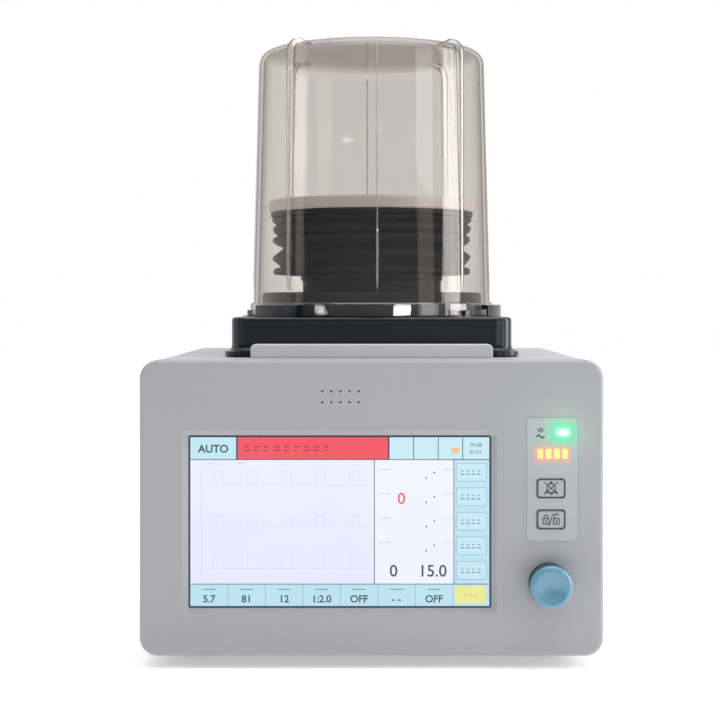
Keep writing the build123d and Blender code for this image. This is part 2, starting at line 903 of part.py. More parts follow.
# Fan rotor: a hub cup on a pin, with seven pitched blades.
hub_back = rear_inner - 3.0
hub_radius = 11.0
hub_length = 14.0
blade_count = 7
blade_middle = 18.3
blade_size = (16.4, 1.6, 13.0)
blade_pitch = 38
with BuildPart() as fan_rotor:
    with BuildSketch(facing(hub_back)):
        with Locations(fan_centre):
            Circle(hub_radius)
    extrude(amount=hub_length)
    with BuildSketch(facing(hub_back)):
        with Locations(fan_centre):
            Circle(pin_radius)
    extrude(amount=hub_back - fan_front)
    fan_middle = Plane(
        origin=(fan_centre[0], hub_back - hub_length / 2, fan_centre[1]),
        x_dir=(1, 0, 0),
        z_dir=(0, -1, 0),
    )
    with Locations(fan_middle):
        with PolarLocations(blade_middle, blade_count):
            Box(*blade_size, rotation=(blade_pitch, 0, 0))
write(fan_rotor, "fan_rotor")

# Fan grille: pressed rings and spokes over the opening, held by four screws.
wire = 1.6
grille_radii = (10.0, 17.0, 24.0, 31.0)
spoke_length = 30.0
with BuildPart() as fan_grille:
    with BuildSketch(facing_rear(rear_outer)):
        with Locations((-fan_centre[0], fan_centre[1])):
            for radius in grille_radii:
                Circle(radius)
                Circle(radius - wire, mode=Mode.SUBTRACT)
            Circle(3.0)
            with PolarLocations(spoke_length / 2 + 0.5, 4, start_angle=45):
                Rectangle(spoke_length, wire)
            with GridLocations(fan_screw_pitch, fan_screw_pitch, 2, 2):
                Circle(2 * fan_screw_hole)
            with GridLocations(fan_screw_pitch, fan_screw_pitch, 2, 2):
                Circle(fan_screw_hole, mode=Mode.SUBTRACT)
    extrude(amount=wire)
write(fan_grille, "fan_grille")

fan_screw_points = [
    (-fan_centre[0] + across * fan_screw_pitch / 2, fan_centre[1] + up * fan_screw_pitch / 2)
    for across in (-1, 1)
    for up in (-1, 1)
]
fan_screws = screws(
    facing_rear(rear_outer + wire),
    fan_screw_points,
    3.2,
    screw_head_height,
    fan_screw_hole,
    fan_depth,
)
write(fan_screws, "fan_screws")

# Mains inlet: a flanged socket with three blades.
mains_flange = 2.6
mains_depth = 20.0
with BuildPart() as mains_inlet:
    with BuildSketch(facing_rear(rear_outer)):
        with Locations((-mains_centre[0], mains_centre[1])):
            RectangleRounded(33.0, 27.0, 2.0)
    extrude(amount=mains_flange)
    with BuildSketch(facing_rear(rear_outer)):
        with Locations((-mains_centre[0], mains_centre[1])):
            Rectangle(*mains_body)
    extrude(amount=-mains_depth)
    with BuildSketch(facing_rear(rear_outer + mains_flange)):
        with Locations((-mains_centre[0], mains_centre[1])):
            RectangleRounded(24.2, 16.4, 3.0)
    extrude(amount=-mains_depth, mode=Mode.SUBTRACT)
write(mains_inlet, "mains_inlet")

blade_points = [(-7.0, -2.0), (7.0, -2.0), (0, 2.0)]
with BuildPart() as mains_blades:
    with BuildSketch(facing_rear(rear_outer + mains_flange - mains_depth)):
        with Locations((-mains_centre[0], mains_centre[1])):
            with Locations(*blade_points):
                Rectangle(2.0, 4.0)
    extrude(amount=14.0)
write(mains_blades, "mains_blades")

# Rocker switch: a framed housing and a rocker on a cross pin.
rocker_tilt = 8.0
rocker_pivot = rear_outer - 4.0
switch_flange = 2.0
switch_depth = 22.0
switch_mouth = (18.0, 25.0)
with BuildPart() as switch_housing:
    with BuildSketch(facing_rear(rear_outer)):
        with Locations((-rocker_centre[0], rocker_centre[1])):
            RectangleRounded(26.0, 32.0, 1.5)
    extrude(amount=switch_flange)
    with BuildSketch(facing_rear(rear_outer)):
        with Locations((-rocker_centre[0], rocker_centre[1])):
            Rectangle(*switch_body)
    extrude(amount=-switch_depth)
    with BuildSketch(facing_rear(rear_outer + switch_flange)):
        with Locations((-rocker_centre[0], rocker_centre[1])):
            Rectangle(*switch_mouth)
    extrude(amount=3.0 - switch_depth, mode=Mode.SUBTRACT)
    with BuildSketch(Plane.YZ.offset(rocker_centre[0] - 10.5)):
        with Locations((rocker_pivot, rocker_centre[1])):
            Circle(pin_radius + shaft_fit)
    extrude(amount=21.0, mode=Mode.SUBTRACT)
write(switch_housing, "switch_housing")

tilt = math.radians(rocker_tilt)
rocker_plane = Plane(
    origin=(rocker_centre[0], rocker_pivot, rocker_centre[1]),
    x_dir=(0, math.cos(tilt), math.sin(tilt)),
    z_dir=(1, 0, 0),
)
with BuildPart() as rocker:
    with BuildSketch(rocker_plane):
        with BuildLine():
            Polyline(
                (8.2, -11.0),
                (6.8, 0),
                (8.2, 11.0),
                (-3.0, 9.0),
                (-3.0, -9.0),
                close=True,
            )
        make_face()
    extrude(amount=8.6, both=True)
    with BuildSketch(rocker_plane):
        Circle(pin_radius)
    extrude(amount=10.4, both=True)
write(rocker, "rocker")

# Fuse holders: round bodies with slotted bayonet caps.
with BuildPart() as fuse_holders:
    rear_fuses = [(-x, z) for x, z in fuse_centres]
    cap_height = 7.0
    with BuildSketch(facing_rear(rear_outer)):
        with Locations(*rear_fuses):
            Circle(fuse_radius + 1.6)
    extrude(amount=cap_height)
    fillet(fuse_holders.faces().sort_by(Axis.Y)[-2:].edges(), 0.8)
    with BuildSketch(facing_rear(rear_outer)):
        with Locations(*rear_fuses):
            Circle(fuse_radius)
    extrude(amount=-24.0)
    with BuildSketch(facing_rear(rear_outer + cap_height - 1.4)):
        with Locations(*rear_fuses):
            Rectangle(11.0, 1.6)
    extrude(amount=2.0, mode=Mode.SUBTRACT)
write(fuse_holders, "fuse_holders")

# Equipotential post: a pin with a collar and a nut behind the panel.
earth_post = turned(
    earth_centre,
    [
        (0, rear_inner - 12.0),
        (earth_radius, rear_inner - 12.0),
        (earth_radius, rear_inner - 5.0),
        (6.5, rear_inner - 5.0),
        (6.5, rear_inner),
        (earth_radius, rear_inner),
        (earth_radius, rear_outer),
        (7.0, rear_outer),
        (7.0, rear_outer + 2.5),
        (earth_radius, rear_outer + 3.5),
        (earth_radius, rear_outer + 15.0),
        (2.4, rear_outer + 16.0),
        (0, rear_outer + 16.0),
    ],
)
write(earth_post, "earth_post")

# Network socket: a shielded box with an open mouth and a latch notch.
with BuildPart() as network_socket:
    with BuildSketch(facing_rear(rear_outer + 1.0)):
        with Locations((-network_centre[0], network_centre[1])):
            Rectangle(*network_body)
    extrude(amount=-20.0)
    with BuildSketch(facing_rear(rear_outer + 1.0)):
        with Locations((-network_centre[0], network_centre[1])):
            Rectangle(12.0, 8.0)
            with Locations((0, -5.0)):
                Rectangle(6.0, 3.0)
    extrude(amount=-14.0, mode=Mode.SUBTRACT)
write(network_socket, "network_socket")

port_flange = 15.5
port_bore = 7.5


def port(centre, cone, bore, inside_end):
    """Tube fitting for a breathing hose: cone outside, flange, and a barb inside the case."""
    outline = [
        (bore, inside_end),
        (bore + 2.0, inside_end),
        (bore + 2.0, rear_inner - 4.0),
        (port_flange, rear_inner - 4.0),
        (port_flange, rear_inner),
        (port_body, rear_inner),
        (port_body, rear_outer),
        (port_flange, rear_outer),
        (port_flange, rear_outer + 3.0),
        (cone, rear_outer + 3.0),
        (cone, port_end - 0.5),
        (cone - 0.5, port_end),
        (bore, port_end),
    ]
    return turned(centre, outline)


hose_end = 118.0
patient_port = port(patient_centre, patient_radius, port_bore, hose_end)
write(patient_port, "patient_port")
exhaust_port = port(exhaust_centre, exhaust_radius, port_bore, hose_end)
write(exhaust_port, "exhaust_port")

# Gas supply inlet: a threaded nipple with a hexagon collar.
supply_inner = 113.0
collar_radius = 11.5
collar_height = 5.0
with BuildPart() as supply_inlet:
    with BuildSketch(facing_rear(supply_inner)):
        with Locations((-supply_centre[0], supply_centre[1])):
            Circle(supply_radius)
    extrude(amount=port_end - 2.0 - supply_inner)
    with BuildSketch(facing_rear(rear_outer)):
        with Locations((-supply_centre[0], supply_centre[1])):
            RegularPolygon(collar_radius, 6)
    extrude(amount=collar_height)
    with BuildSketch(facing(rear_inner)):
        with Locations(supply_centre):
            RegularPolygon(collar_radius, 6)
    extrude(amount=collar_height)
    with BuildSketch(facing_rear(supply_inner)):
        with Locations((-supply_centre[0], supply_centre[1])):
            Circle(3.0)
    extrude(amount=port_end - supply_inner, mode=Mode.SUBTRACT)
write(supply_inlet, "supply_inlet")

# Pressure sensing ports: two barbed nipples.
with BuildPart() as sensor_ports:
    for centre in sensor_centres:
        x, z = centre
        with BuildSketch(Plane(origin=(x, 0, z), x_dir=(1, 0, 0), z_dir=(0, 0, 1))):
            with BuildLine():
                Polyline(
                    (1.2, rear_inner - 8.0),
                    (sensor_radius, rear_inner - 8.0),
                    (sensor_radius, rear_outer),
                    (6.5, rear_outer),
                    (6.5, rear_outer + 3.0),
                    (2.2, rear_outer + 3.0),
                    (2.2, rear_outer + 8.0),
                    (3.1, rear_outer + 9.0),
                    (2.2, rear_outer + 12.0),
                    (3.1, rear_outer + 12.0),
                    (2.0, rear_outer + 16.0),
                    (1.2, rear_outer + 16.0),
                    close=True,
                )
            make_face()
        revolve(axis=Axis((x, 0, z), (0, 1, 0)))
write(sensor_ports, "sensor_ports")

# ---------------------------------------------------------------- inside the case

# Power supply: a vented metal box on the floor.
supply_x = 98.8
supply_y = 68.0
supply_height = 36.0
vent_depth = 2.0
with BuildPart() as power_supply:
    with BuildSketch(Plane.XY.offset(floor_top)):
        with Locations((supply_x, supply_y)):
            Rectangle(82.0, 84.0)
    extrude(amount=supply_height)
    with BuildSketch(Plane.XY.offset(floor_top + supply_height - vent_depth)):
        with Locations((supply_x, supply_y)):
            with GridLocations(9.0, 0, 8, 1):
                SlotOverall(50.0, 3.0, rotation=90)
    extrude(amount=vent_depth, mode=Mode.SUBTRACT)
write(power_supply, "power_supply")

# Battery pack in shrink film, and the strap that holds it down.
battery_x = -99.0
battery_y = 66.0
battery_width = 82.0
battery_length = 88.0
battery_top = floor_top + 26.0
with BuildPart() as battery_pack:
    with BuildSketch(Plane.XY.offset(floor_top)):
        with Locations((battery_x, battery_y)):
            RectangleRounded(battery_width, battery_length, 6.0)
    extrude(amount=battery_top - floor_top)
    fillet(battery_pack.edges().group_by(Axis.Z)[-1], 3.0)
write(battery_pack, "battery_pack")

strap_sheet = 1.2
strap_width = 20.0
strap_foot = 12.0
strap_gap = 0.3
strap_inside = battery_length / 2 + strap_gap
strap_outside = strap_inside + strap_sheet
with BuildPart() as battery_strap:
    with BuildSketch(Plane.YZ.offset(battery_x - strap_width / 2)):
        with BuildLine():
            Polyline(
                (battery_y - strap_outside - strap_foot, floor_top),
                (battery_y - strap_inside, floor_top),
                (battery_y - strap_inside, battery_top + strap_gap),
                (battery_y + strap_inside, battery_top + strap_gap),
                (battery_y + strap_inside, floor_top),
                (battery_y + strap_outside + strap_foot, floor_top),
                (battery_y + strap_outside + strap_foot, floor_top + strap_sheet),
                (battery_y + strap_outside, floor_top + strap_sheet),
                (battery_y + strap_outside, battery_top + strap_gap + strap_sheet),
                (battery_y - strap_outside, battery_top + strap_gap + strap_sheet),
                (battery_y - strap_outside, floor_top + strap_sheet),
                (battery_y - strap_outside - strap_foot, floor_top + strap_sheet),
                close=True,
            )
        make_face()
    extrude(amount=strap_width)
write(battery_strap, "battery_strap")

# Pressure regulator screwed to the inner end of the supply inlet.
regulator_y = 95.0
regulator_radius = 18.0
regulator_bottom = 46.0
regulator_height = 30.0
outlet_reach = regulator_radius + 4.0
with BuildPart() as pressure_regulator:
    with BuildSketch(Plane.XY.offset(regulator_bottom)):
        with Locations((supply_centre[0], regulator_y)):
            Circle(regulator_radius)
    extrude(amount=regulator_height)
    with BuildSketch(Plane.XY.offset(regulator_bottom + regulator_height)):
        with Locations((supply_centre[0], regulator_y)):
            Circle(11.0)
    extrude(amount=14.0, taper=6)
    with BuildSketch(facing(regulator_y)):
        with Locations(supply_centre):
            Circle(6.0)
    extrude(amount=outlet_reach)
    with BuildSketch(facing_rear(regulator_y)):
        with Locations((-supply_centre[0], supply_centre[1])):
            Circle(supply_radius)
    extrude(amount=supply_inner - regulator_y)
write(pressure_regulator, "pressure_regulator")

# Valve block with the coil of the proportional valve on top.
block_top = 72.0
block_x = -84.0
block_y = -45.0
coil_x = -72.0
block_size = (52.0, 40.0)
coil_bottom = block_top + 4.0
coil_top = block_top + 30.0
coil_cap = block_top + 36.0
coil_radius = 14.0
with BuildPart() as valve_block:
    with BuildSketch(Plane.XY.offset(floor_top)):
        with Locations((block_x, block_y)):
            RectangleRounded(*block_size, 2.0)
    extrude(amount=block_top - floor_top)
    chamfer(valve_block.edges().group_by(Axis.Z)[-1], 1.0)
write(valve_block, "valve_block")

valve_coil = turned_upright(
    (coil_x, block_y),
    [
        (0, block_top),
        (9.0, block_top),
        (9.0, coil_bottom),
        (coil_radius, coil_bottom),
        (coil_radius, coil_top),
        (6.0, coil_top),
        (6.0, coil_cap),
        (0, coil_cap),
    ],
)
write(valve_coil, "valve_coil")

# Hoses: two narrow ones for the supply and drive gas, two wide ones for breathing gas.
gas_hose = 5.0
gas_bore = 3.0
drive_bore = 3.5
breathing_hose = 9.5
inlet_hose = hose(
    [
        (supply_centre[0], regulator_y - outlet_reach, supply_centre[1]),
        (supply_centre[0], 50.0, supply_centre[1]),
        (-99.0, 23.0, 61.0),
        (-90.0, -1.0, 57.0),
        (-90.0, -25.0, 57.0),
    ],
    gas_hose,
    gas_bore,
)
write(inlet_hose, "inlet_hose")

drive_hose = hose(
    [
        (-99.0, block_y, block_top),
        (-99.0, block_y, 100.0),
        (-90.0, -28.0, 124.0),
        (-74.0, 0.0, 138.0),
        (-62.0, 26.0, 154.0),
        (drive_x, bellows_y, 172.0),
        (drive_x, bellows_y, drive_bottom),
    ],
    gas_hose,
    drive_bore,
)
write(drive_hose, "drive_hose")

patient_hose = hose(
    [
        (patient_spigot_x, bellows_y, spigot_bottom),
        (patient_spigot_x, bellows_y, 142.0),
        (2.0, 50.0, 120.0),
        (-30.0, 70.0, 120.0),
        (-56.0, 84.0, 142.0),
        (patient_centre[0], 98.0, patient_centre[1]),
        (patient_centre[0], hose_end, patient_centre[1]),
    ],
    breathing_hose,
    port_bore,
)
write(patient_hose, "patient_hose")

exhaust_hose = hose(
    [
        (exhaust_spigot_x, bellows_y, spigot_bottom),
        (exhaust_spigot_x, bellows_y, 148.0),
        (-42.0, 44.0, 132.0),
        (-72.0, 62.0, 134.0),
        (-98.0, 80.0, 146.0),
        (exhaust_centre[0], 98.0, exhaust_centre[1]),
        (exhaust_centre[0], hose_end, exhaust_centre[1]),
    ],
    breathing_hose,
    port_bore,
)
write(exhaust_hose, "exhaust_hose")

# ---------------------------------------------------------------- bellows base

# Rubber gasket between the roof and the base.
with BuildPart() as base_gasket:
    with BuildSketch(Plane.XY.offset(cover_top)):
        with Locations((0, bellows_y)):
            RectangleRounded(foot_width - 4, foot_width - 4, base_corner)
            Circle(spill_flange + 1, mode=Mode.SUBTRACT)
        with Locations((drive_x, bellows_y)):
            Circle(drive_hole, mode=Mode.SUBTRACT)
        with Locations(*base_screw_points):
            Circle(base_screw_hole, mode=Mode.SUBTRACT)
    extrude(amount=gasket)
write(base_gasket, "base_gasket")

# Base: a square box open underneath, with a flared foot, corner pillars, a groove for the
# dome seal, the bellows port in the middle and the drive gas nozzle beside it.
foot_plate = 3.0
foot_sweep = 4.2
top_round = 2.2
pillar_pitch = 172.0
pillar_radius = 10.0
base_screw = 2.5
with BuildPart() as bellows_base:
    with BuildSketch(Plane.XY.offset(base_bottom)):
        with Locations((0, bellows_y)):
            RectangleRounded(foot_width, foot_width, base_corner + (foot_width - base_width) / 2)
    extrude(amount=foot_plate)
    with BuildSketch(Plane.XY.offset(base_bottom + foot_plate)):
        with Locations((0, bellows_y)):
            RectangleRounded(base_width, base_width, base_corner)
    extrude(amount=base_top - base_bottom - foot_plate)
    fillet(bellows_base.edges().group_by(Axis.Z)[-1], top_round)
    block_foot = (
        bellows_base.edges()
        .filter_by_position(Axis.Z, base_bottom + foot_plate - 0.1, base_bottom + foot_plate + 0.1)
        .filter_by(lambda edge: edge.bounding_box().max.X < base_width / 2 + 0.1)
        .filter_by(lambda edge: edge.bounding_box().min.X > -base_width / 2 - 0.1)
        .filter_by(lambda edge: edge.bounding_box().max.Y < bellows_y + base_width / 2 + 0.1)
        .filter_by(lambda edge: edge.bounding_box().min.Y > bellows_y - base_width / 2 - 0.1)
    )
    fillet(block_foot, foot_sweep)
    with BuildSketch(Plane.XY.offset(base_bottom)):
        with Locations((0, bellows_y)):
            RectangleRounded(base_width - 2 * base_wall, base_width - 2 * base_wall, 8.0)
            with GridLocations(pillar_pitch, pillar_pitch, 2, 2):
                Circle(pillar_radius, mode=Mode.SUBTRACT)
    extrude(amount=roof_inside - base_bottom, mode=Mode.SUBTRACT)
    with BuildSketch(Plane.XY.offset(roof_inside)):
        with Locations((0, bellows_y)):
            Circle(spill_inner)
    extrude(amount=base_roof, mode=Mode.SUBTRACT)
    with BuildSketch(Plane.XY.offset(drive_bottom)):
        with Locations((drive_x, bellows_y)):
            Circle(gas_hose)
    extrude(amount=roof_inside - drive_bottom)
    with BuildSketch(Plane.XY.offset(drive_bottom)):
        with Locations((drive_x, bellows_y)):
            Circle(drive_bore)
    extrude(amount=base_top - drive_bottom, mode=Mode.SUBTRACT)
    with BuildSketch(Plane.XY.offset(base_top)):
        with Locations((0, bellows_y)):
            Circle(seal_radius + seal_width / 2 + seal_gap)
            Circle(seal_radius - seal_width / 2 - seal_gap, mode=Mode.SUBTRACT)
    extrude(amount=seal_bottom - seal_gap - base_top, mode=Mode.SUBTRACT)
    with BuildSketch(Plane.XY.offset(base_bottom)):
        with Locations(*base_screw_points):
            Circle(base_screw)
    extrude(amount=14.0, mode=Mode.SUBTRACT)
write(bellows_base, "bellows_base")

# Base screws from inside the case.
base_screws = screws(
    Plane.XY.offset(roof_under).rotated((180, 0, 0)),
    [(x, -y) for x, y in base_screw_points],
    4.5,
    3.0,
    base_screw,
    sheet + gasket + 12.0,
)
write(base_screws, "base_screws")

# Retaining bar in front of the base.
bar_back = bellows_y - foot_width / 2
with BuildPart() as retaining_bar:
    with BuildSketch(facing(bar_back)):
        with Locations((0, (cover_top + bar_top) / 2)):
            Rectangle(2 * bar_half, bar_top - cover_top)
    extrude(amount=bar_back - bar_front)
    bar_ends = retaining_bar.edges().filter_by(Axis.Y).group_by(Axis.Z)[-1]
    fillet(bar_ends, 3.5)
    fillet(retaining_bar.faces().sort_by(Axis.Y)[0].edges(), 0.8)
    with BuildSketch(Plane.XY.offset(cover_top)):
        with Locations(*bar_screw_points):
            Circle(small_shank)
    extrude(amount=6.0, mode=Mode.SUBTRACT)
write(retaining_bar, "retaining_bar")

bar_screws = screws(
    Plane.XY.offset(roof_under).rotated((180, 0, 0)),
    [(x, -y) for x, y in bar_screw_points],
    small_head,
    screw_head_height,
    small_shank,
    sheet + screw_grip,
)

# Small screws, all alike: four through each side of the cover, those of the rear panel,
# those of the display bracket and those of the retaining bar.
side_reach = 7.0
with BuildPart() as case_screws:
    for side in (-1, 1):
        side_plane = Plane(
            origin=(side * cover_width / 2, 0, 0), x_dir=(0, side, 0), z_dir=(side, 0, 0)
        )
        places = [(side * y, side_screw_z) for y in side_screw_y]
        with BuildSketch(side_plane):
            with Locations(*places):
                Circle(small_head)
        extrude(amount=1.2)
        with BuildSketch(side_plane):
            with Locations(*places):
                Circle(small_shank)
        extrude(amount=-side_reach)
        with BuildSketch(side_plane.offset(0.5)):
            with Locations(*places):
                Rectangle(cross_length, cross_width)
                Rectangle(cross_width, cross_length)
        extrude(amount=1.0, mode=Mode.SUBTRACT)
    add(rear_screws.part)
    add(bracket_screws.part)
    add(bar_screws.part)
write(case_screws, "case_screws")

# Spill valve housing: a flanged cup under the base with two spigots, a raised seat and a
# guide bar for the valve stem.
guide_bottom = 206.0
seat_rise = 2.0
stem_radius = 2.0
valve_bottom = spill_floor + seat_rise + 0.3
valve_radius = 11.0
stem_top = 216.0
with BuildPart() as spill_housing:
    with BuildSketch(facing(bellows_y)):
        with BuildLine():
            Polyline(
                (0, spill_bottom),
                (spill_outer, spill_bottom),
                (spill_outer, roof_inside - 4),
                (spill_flange, roof_inside - 4),
                (spill_flange, roof_inside),
                (spill_inner, roof_inside),
                (spill_inner, spill_floor),
                (0, spill_floor),
                close=True,
            )
        make_face()
    revolve(axis=Axis((0, bellows_y, 0), (0, 0, 1)))
    with BuildSketch(Plane.XY.offset(spigot_bottom)):
        with Locations((patient_spigot_x, bellows_y), (exhaust_spigot_x, bellows_y)):
            Circle(breathing_hose)
    extrude(amount=spill_bottom - spigot_bottom)
    with BuildSketch(Plane.XY.offset(spill_floor)):
        with Locations((exhaust_spigot_x, bellows_y)):
            Circle(breathing_hose)
    extrude(amount=seat_rise)
    with BuildSketch(Plane.XY.offset(spigot_bottom)):
        with Locations((patient_spigot_x, bellows_y), (exhaust_spigot_x, bellows_y)):
            Circle(port_bore)
    extrude(amount=spill_floor + seat_rise - spigot_bottom, mode=Mode.SUBTRACT)
    with BuildSketch(Plane.XY.offset(guide_bottom)):
        with Locations((0, bellows_y)):
            Circle(spill_inner + 1)
        with Locations((exhaust_spigot_x, bellows_y)):
            Rectangle(36.0, 9.0, mode=Mode.INTERSECT)
            Circle(stem_radius + shaft_fit, mode=Mode.SUBTRACT)
    extrude(amount=5.0)
write(spill_housing, "spill_housing")

# Spill valve disc with its stem.
spill_valve_disc = turned_upright(
    (exhaust_spigot_x, bellows_y),
    [
        (0, valve_bottom),
        (valve_radius, valve_bottom),
        (valve_radius, valve_bottom + 2.5),
        (stem_radius, valve_bottom + 3.5),
        (stem_radius, stem_top),
        (0, stem_top),
    ],
)
write(spill_valve_disc, "spill_valve_disc")

# Lock ring: a flat ring with three overhanging lugs, each closed at its far end, and three
# stop blocks for the dome tabs.
closed_end = 3.0
lug_pieces = [
    sector(lug_wall, ring_outer, lug_start, lug_sweep, base_top, lug_top),
    sector(ring_inner, ring_outer, lug_start, lug_sweep, lug_under, lug_top),
    sector(ring_inner, ring_outer, lug_start + lug_sweep - closed_end, closed_end, base_top, lug_top),
    sector(ring_inner, ring_outer - 2, stop_angle, stop_sweep, base_top, tab_top),
]
with BuildPart() as lock_ring:
    with BuildSketch(Plane.XY.offset(base_top)):
        with Locations((0, bellows_y)):
            Circle(ring_outer)
            Circle(ring_inner, mode=Mode.SUBTRACT)
    extrude(amount=ring_floor - base_top)
    with Locations((0, bellows_y, 0)):
        with PolarLocations(0, tab_count):
            for lug_piece in lug_pieces:
                add(lug_piece)
    outer_top = lock_ring.edges().group_by(Axis.Z)[-1].sort_by(SortBy.LENGTH)[-tab_count:]
    fillet(outer_top, 1.2)
write(lock_ring, "lock_ring")

# ---------------------------------------------------------------- dome

# Seal ring that turns with the dome in the groove of the base.
dome_seal = turned_upright(
    (0, bellows_y),
    [
        (seal_radius - seal_width / 2, seal_bottom),
        (seal_radius + seal_width / 2, seal_bottom),
        (seal_radius + seal_width / 2, seal_top),
        (seal_radius - seal_width / 2, seal_top),
    ],
)
write(dome_seal, "dome_seal")

# Dome: a tapered clear wall with a rounded head, a thick skirt, three bayonet tabs, four
# ribs whose outer faces stand at one radius, so that they rise above the head and fade into
# the wall below, and four thin ribs on the seams of the mould between them.
crown_camber = 0.5
skirt_edge = 0.8
rib_root = 1.2
head_flat = dome_head_radius - dome_round
tab_first = tab_angle - tab_sweep / 2
tab = sector(skirt_radius - 2, tab_radius, tab_first, tab_sweep, tab_bottom, tab_top)
with BuildPart() as dome:
    with BuildSketch(facing(bellows_y)):
        with BuildLine():
            wall_outside = Line((dome_foot_radius, skirt_top), (dome_head_radius, crown - dome_round))
            head = RadiusArc(
                wall_outside @ 1, (dome_head_radius - dome_round, crown), -dome_round
            )
            cap = Line(head @ 1, (0, crown + crown_camber))
            axis_line = Line(cap @ 1, (0, crown + crown_camber - dome_wall))
            ceiling = Line(axis_line @ 1, (dome_head_radius - dome_round, crown - dome_wall))
            inner_round = RadiusArc(
                ceiling @ 1, (dome_head_radius - dome_wall, crown - dome_round), dome_round - dome_wall
            )
            Polyline(
                inner_round @ 1,
                (dome_foot_radius - dome_wall, skirt_top),
                (dome_foot_radius - dome_wall, dome_bottom),
                (skirt_radius - skirt_edge, dome_bottom),
                (skirt_radius, dome_bottom + skirt_edge),
                (skirt_radius, skirt_top - skirt_edge),
                (skirt_radius - skirt_edge, skirt_top),
                wall_outside @ 0,
            )
        make_face()
    revolve(axis=Axis((0, bellows_y, 0), (0, 0, 1)))
    with Locations((0, bellows_y, 0)):
        with PolarLocations(0, tab_count):
            add(tab)
    for turn in range(2 * rib_count):
        tall = turn % 2 == 0
        bearing = (rib_angle if tall else seam_rib_angle) - 90 + (turn // 2) * 360 / rib_count
        outward = Vector(math.cos(math.radians(bearing)), math.sin(math.radians(bearing)), 0)
        rib_plane = Plane(
            origin=(0, bellows_y, 0), x_dir=outward, z_dir=outward.cross(Vector(0, 0, 1))
        )
        with BuildSketch(rib_plane):
            with BuildLine():
                root = (dome_foot_radius - rib_root, rib_bottom)
                if tall:
                    rise = Polyline(
                        root, (rib_face, rib_bottom + 6), (rib_face, dome_top - rib_round)
                    )
                    curl = RadiusArc(rise @ 1, (rib_face - rib_round, dome_top), -rib_round)
                    Polyline(
                        curl @ 1,
                        (head_flat - 11.0, crown - 0.4),
                        (head_flat + 3.0, crown - 4.0),
                        (dome_head_radius - 2.0, crown - 30.0),
                        rise @ 0,
                    )
                else:
                    Polyline(
                        root,
                        (dome_foot_radius + seam_rib_rise, rib_bottom + 4),
                        (dome_head_radius + seam_rib_rise, crown - dome_round),
                        (dome_head_radius - rib_root, crown - dome_round + 2),
                        close=True,
                    )
            make_face()
        extrude(amount=(rib_width if tall else seam_rib_width) / 2, both=True)
write(dome, "dome")

# ---------------------------------------------------------------- bellows

# Seat: a broad ring on the base with a neck that the folds stretch over, and a channel
# underneath that lets the drive gas out to the dome wall.
with BuildPart() as bellows_seat:
    with BuildSketch(facing(bellows_y)):
        with BuildLine():
            Polyline(
                (bore_radius, base_top),
                (seat_radius, base_top),
                (seat_radius, seat_top - 2),
                (seat_radius - 2, seat_top),
                (neck_radius, seat_top),
                (neck_radius, neck_top - 4),
                (neck_radius + 1.5, neck_top - 2.5),
                (neck_radius + 1.5, neck_top),
                (bore_radius, neck_top),
                close=True,
            )
        make_face()
    revolve(axis=Axis((0, bellows_y, 0), (0, 0, 1)))
    with BuildSketch(Plane.XY.offset(base_top)):
        with Locations((drive_x - 12.0, bellows_y)):
            Rectangle(36.0, 8.0)
    extrude(amount=3.6, mode=Mode.SUBTRACT)
write(bellows_seat, "bellows_seat")

# Folds: a thin rubber wall with four folds, collapsed.
fold_count = 4
fold_pitch = (folds_top - folds_bottom) / fold_count
with BuildPart() as bellows_folds:
    with BuildSketch(facing(bellows_y)):
        with BuildLine():
            outer_points = [(neck_radius + 3.0, folds_bottom)]
            for fold in range(fold_count):
                base_height = folds_bottom + fold * fold_pitch
                outer_points.append((fold_outer, base_height + 0.35 * fold_pitch))
                outer_points.append((fold_outer, base_height + 0.65 * fold_pitch))
                if fold < fold_count - 1:
                    outer_points.append((fold_inner, base_height + fold_pitch))
            outer_points.append((fold_outer - 6, folds_top))
            inner_points = [(radius - 3 * fold_wall, height) for radius, height in outer_points]
            Polyline(*outer_points, *reversed(inner_points), close=True)
        make_face()
    revolve(axis=Axis((0, bellows_y, 0), (0, 0, 1)))
write(bellows_folds, "bellows_folds")

# Clamp ring over the top fold, and the top disc with a shallow raised rim.
clamp_inner = 60.0
clamp_lip = 0.5
rim_width = 8.0
rim_rise = 1.5
bellows_clamp = turned_upright(
    (0, bellows_y),
    [
        (clamp_inner, folds_top),
        (fold_outer, folds_top),
        (fold_outer + clamp_lip, folds_top + 1.0),
        (fold_outer + clamp_lip, clamp_top),
        (clamp_inner, clamp_top),
    ],
)
write(bellows_clamp, "bellows_clamp")

bellows_disc = turned_upright(
    (0, bellows_y),
    [
        (0, clamp_top),
        (disc_radius, clamp_top),
        (disc_radius, disc_top - 2.0),
        (disc_radius - 2.0, disc_top),
        (disc_radius - rim_width, disc_top),
        (disc_radius - rim_width - 1.0, disc_top - rim_rise),
        (0, disc_top - rim_rise),
    ],
)
write(bellows_disc, "bellows_disc")
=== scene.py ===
import math

import bmesh
import bpy
from mathutils import Matrix, Vector, noise


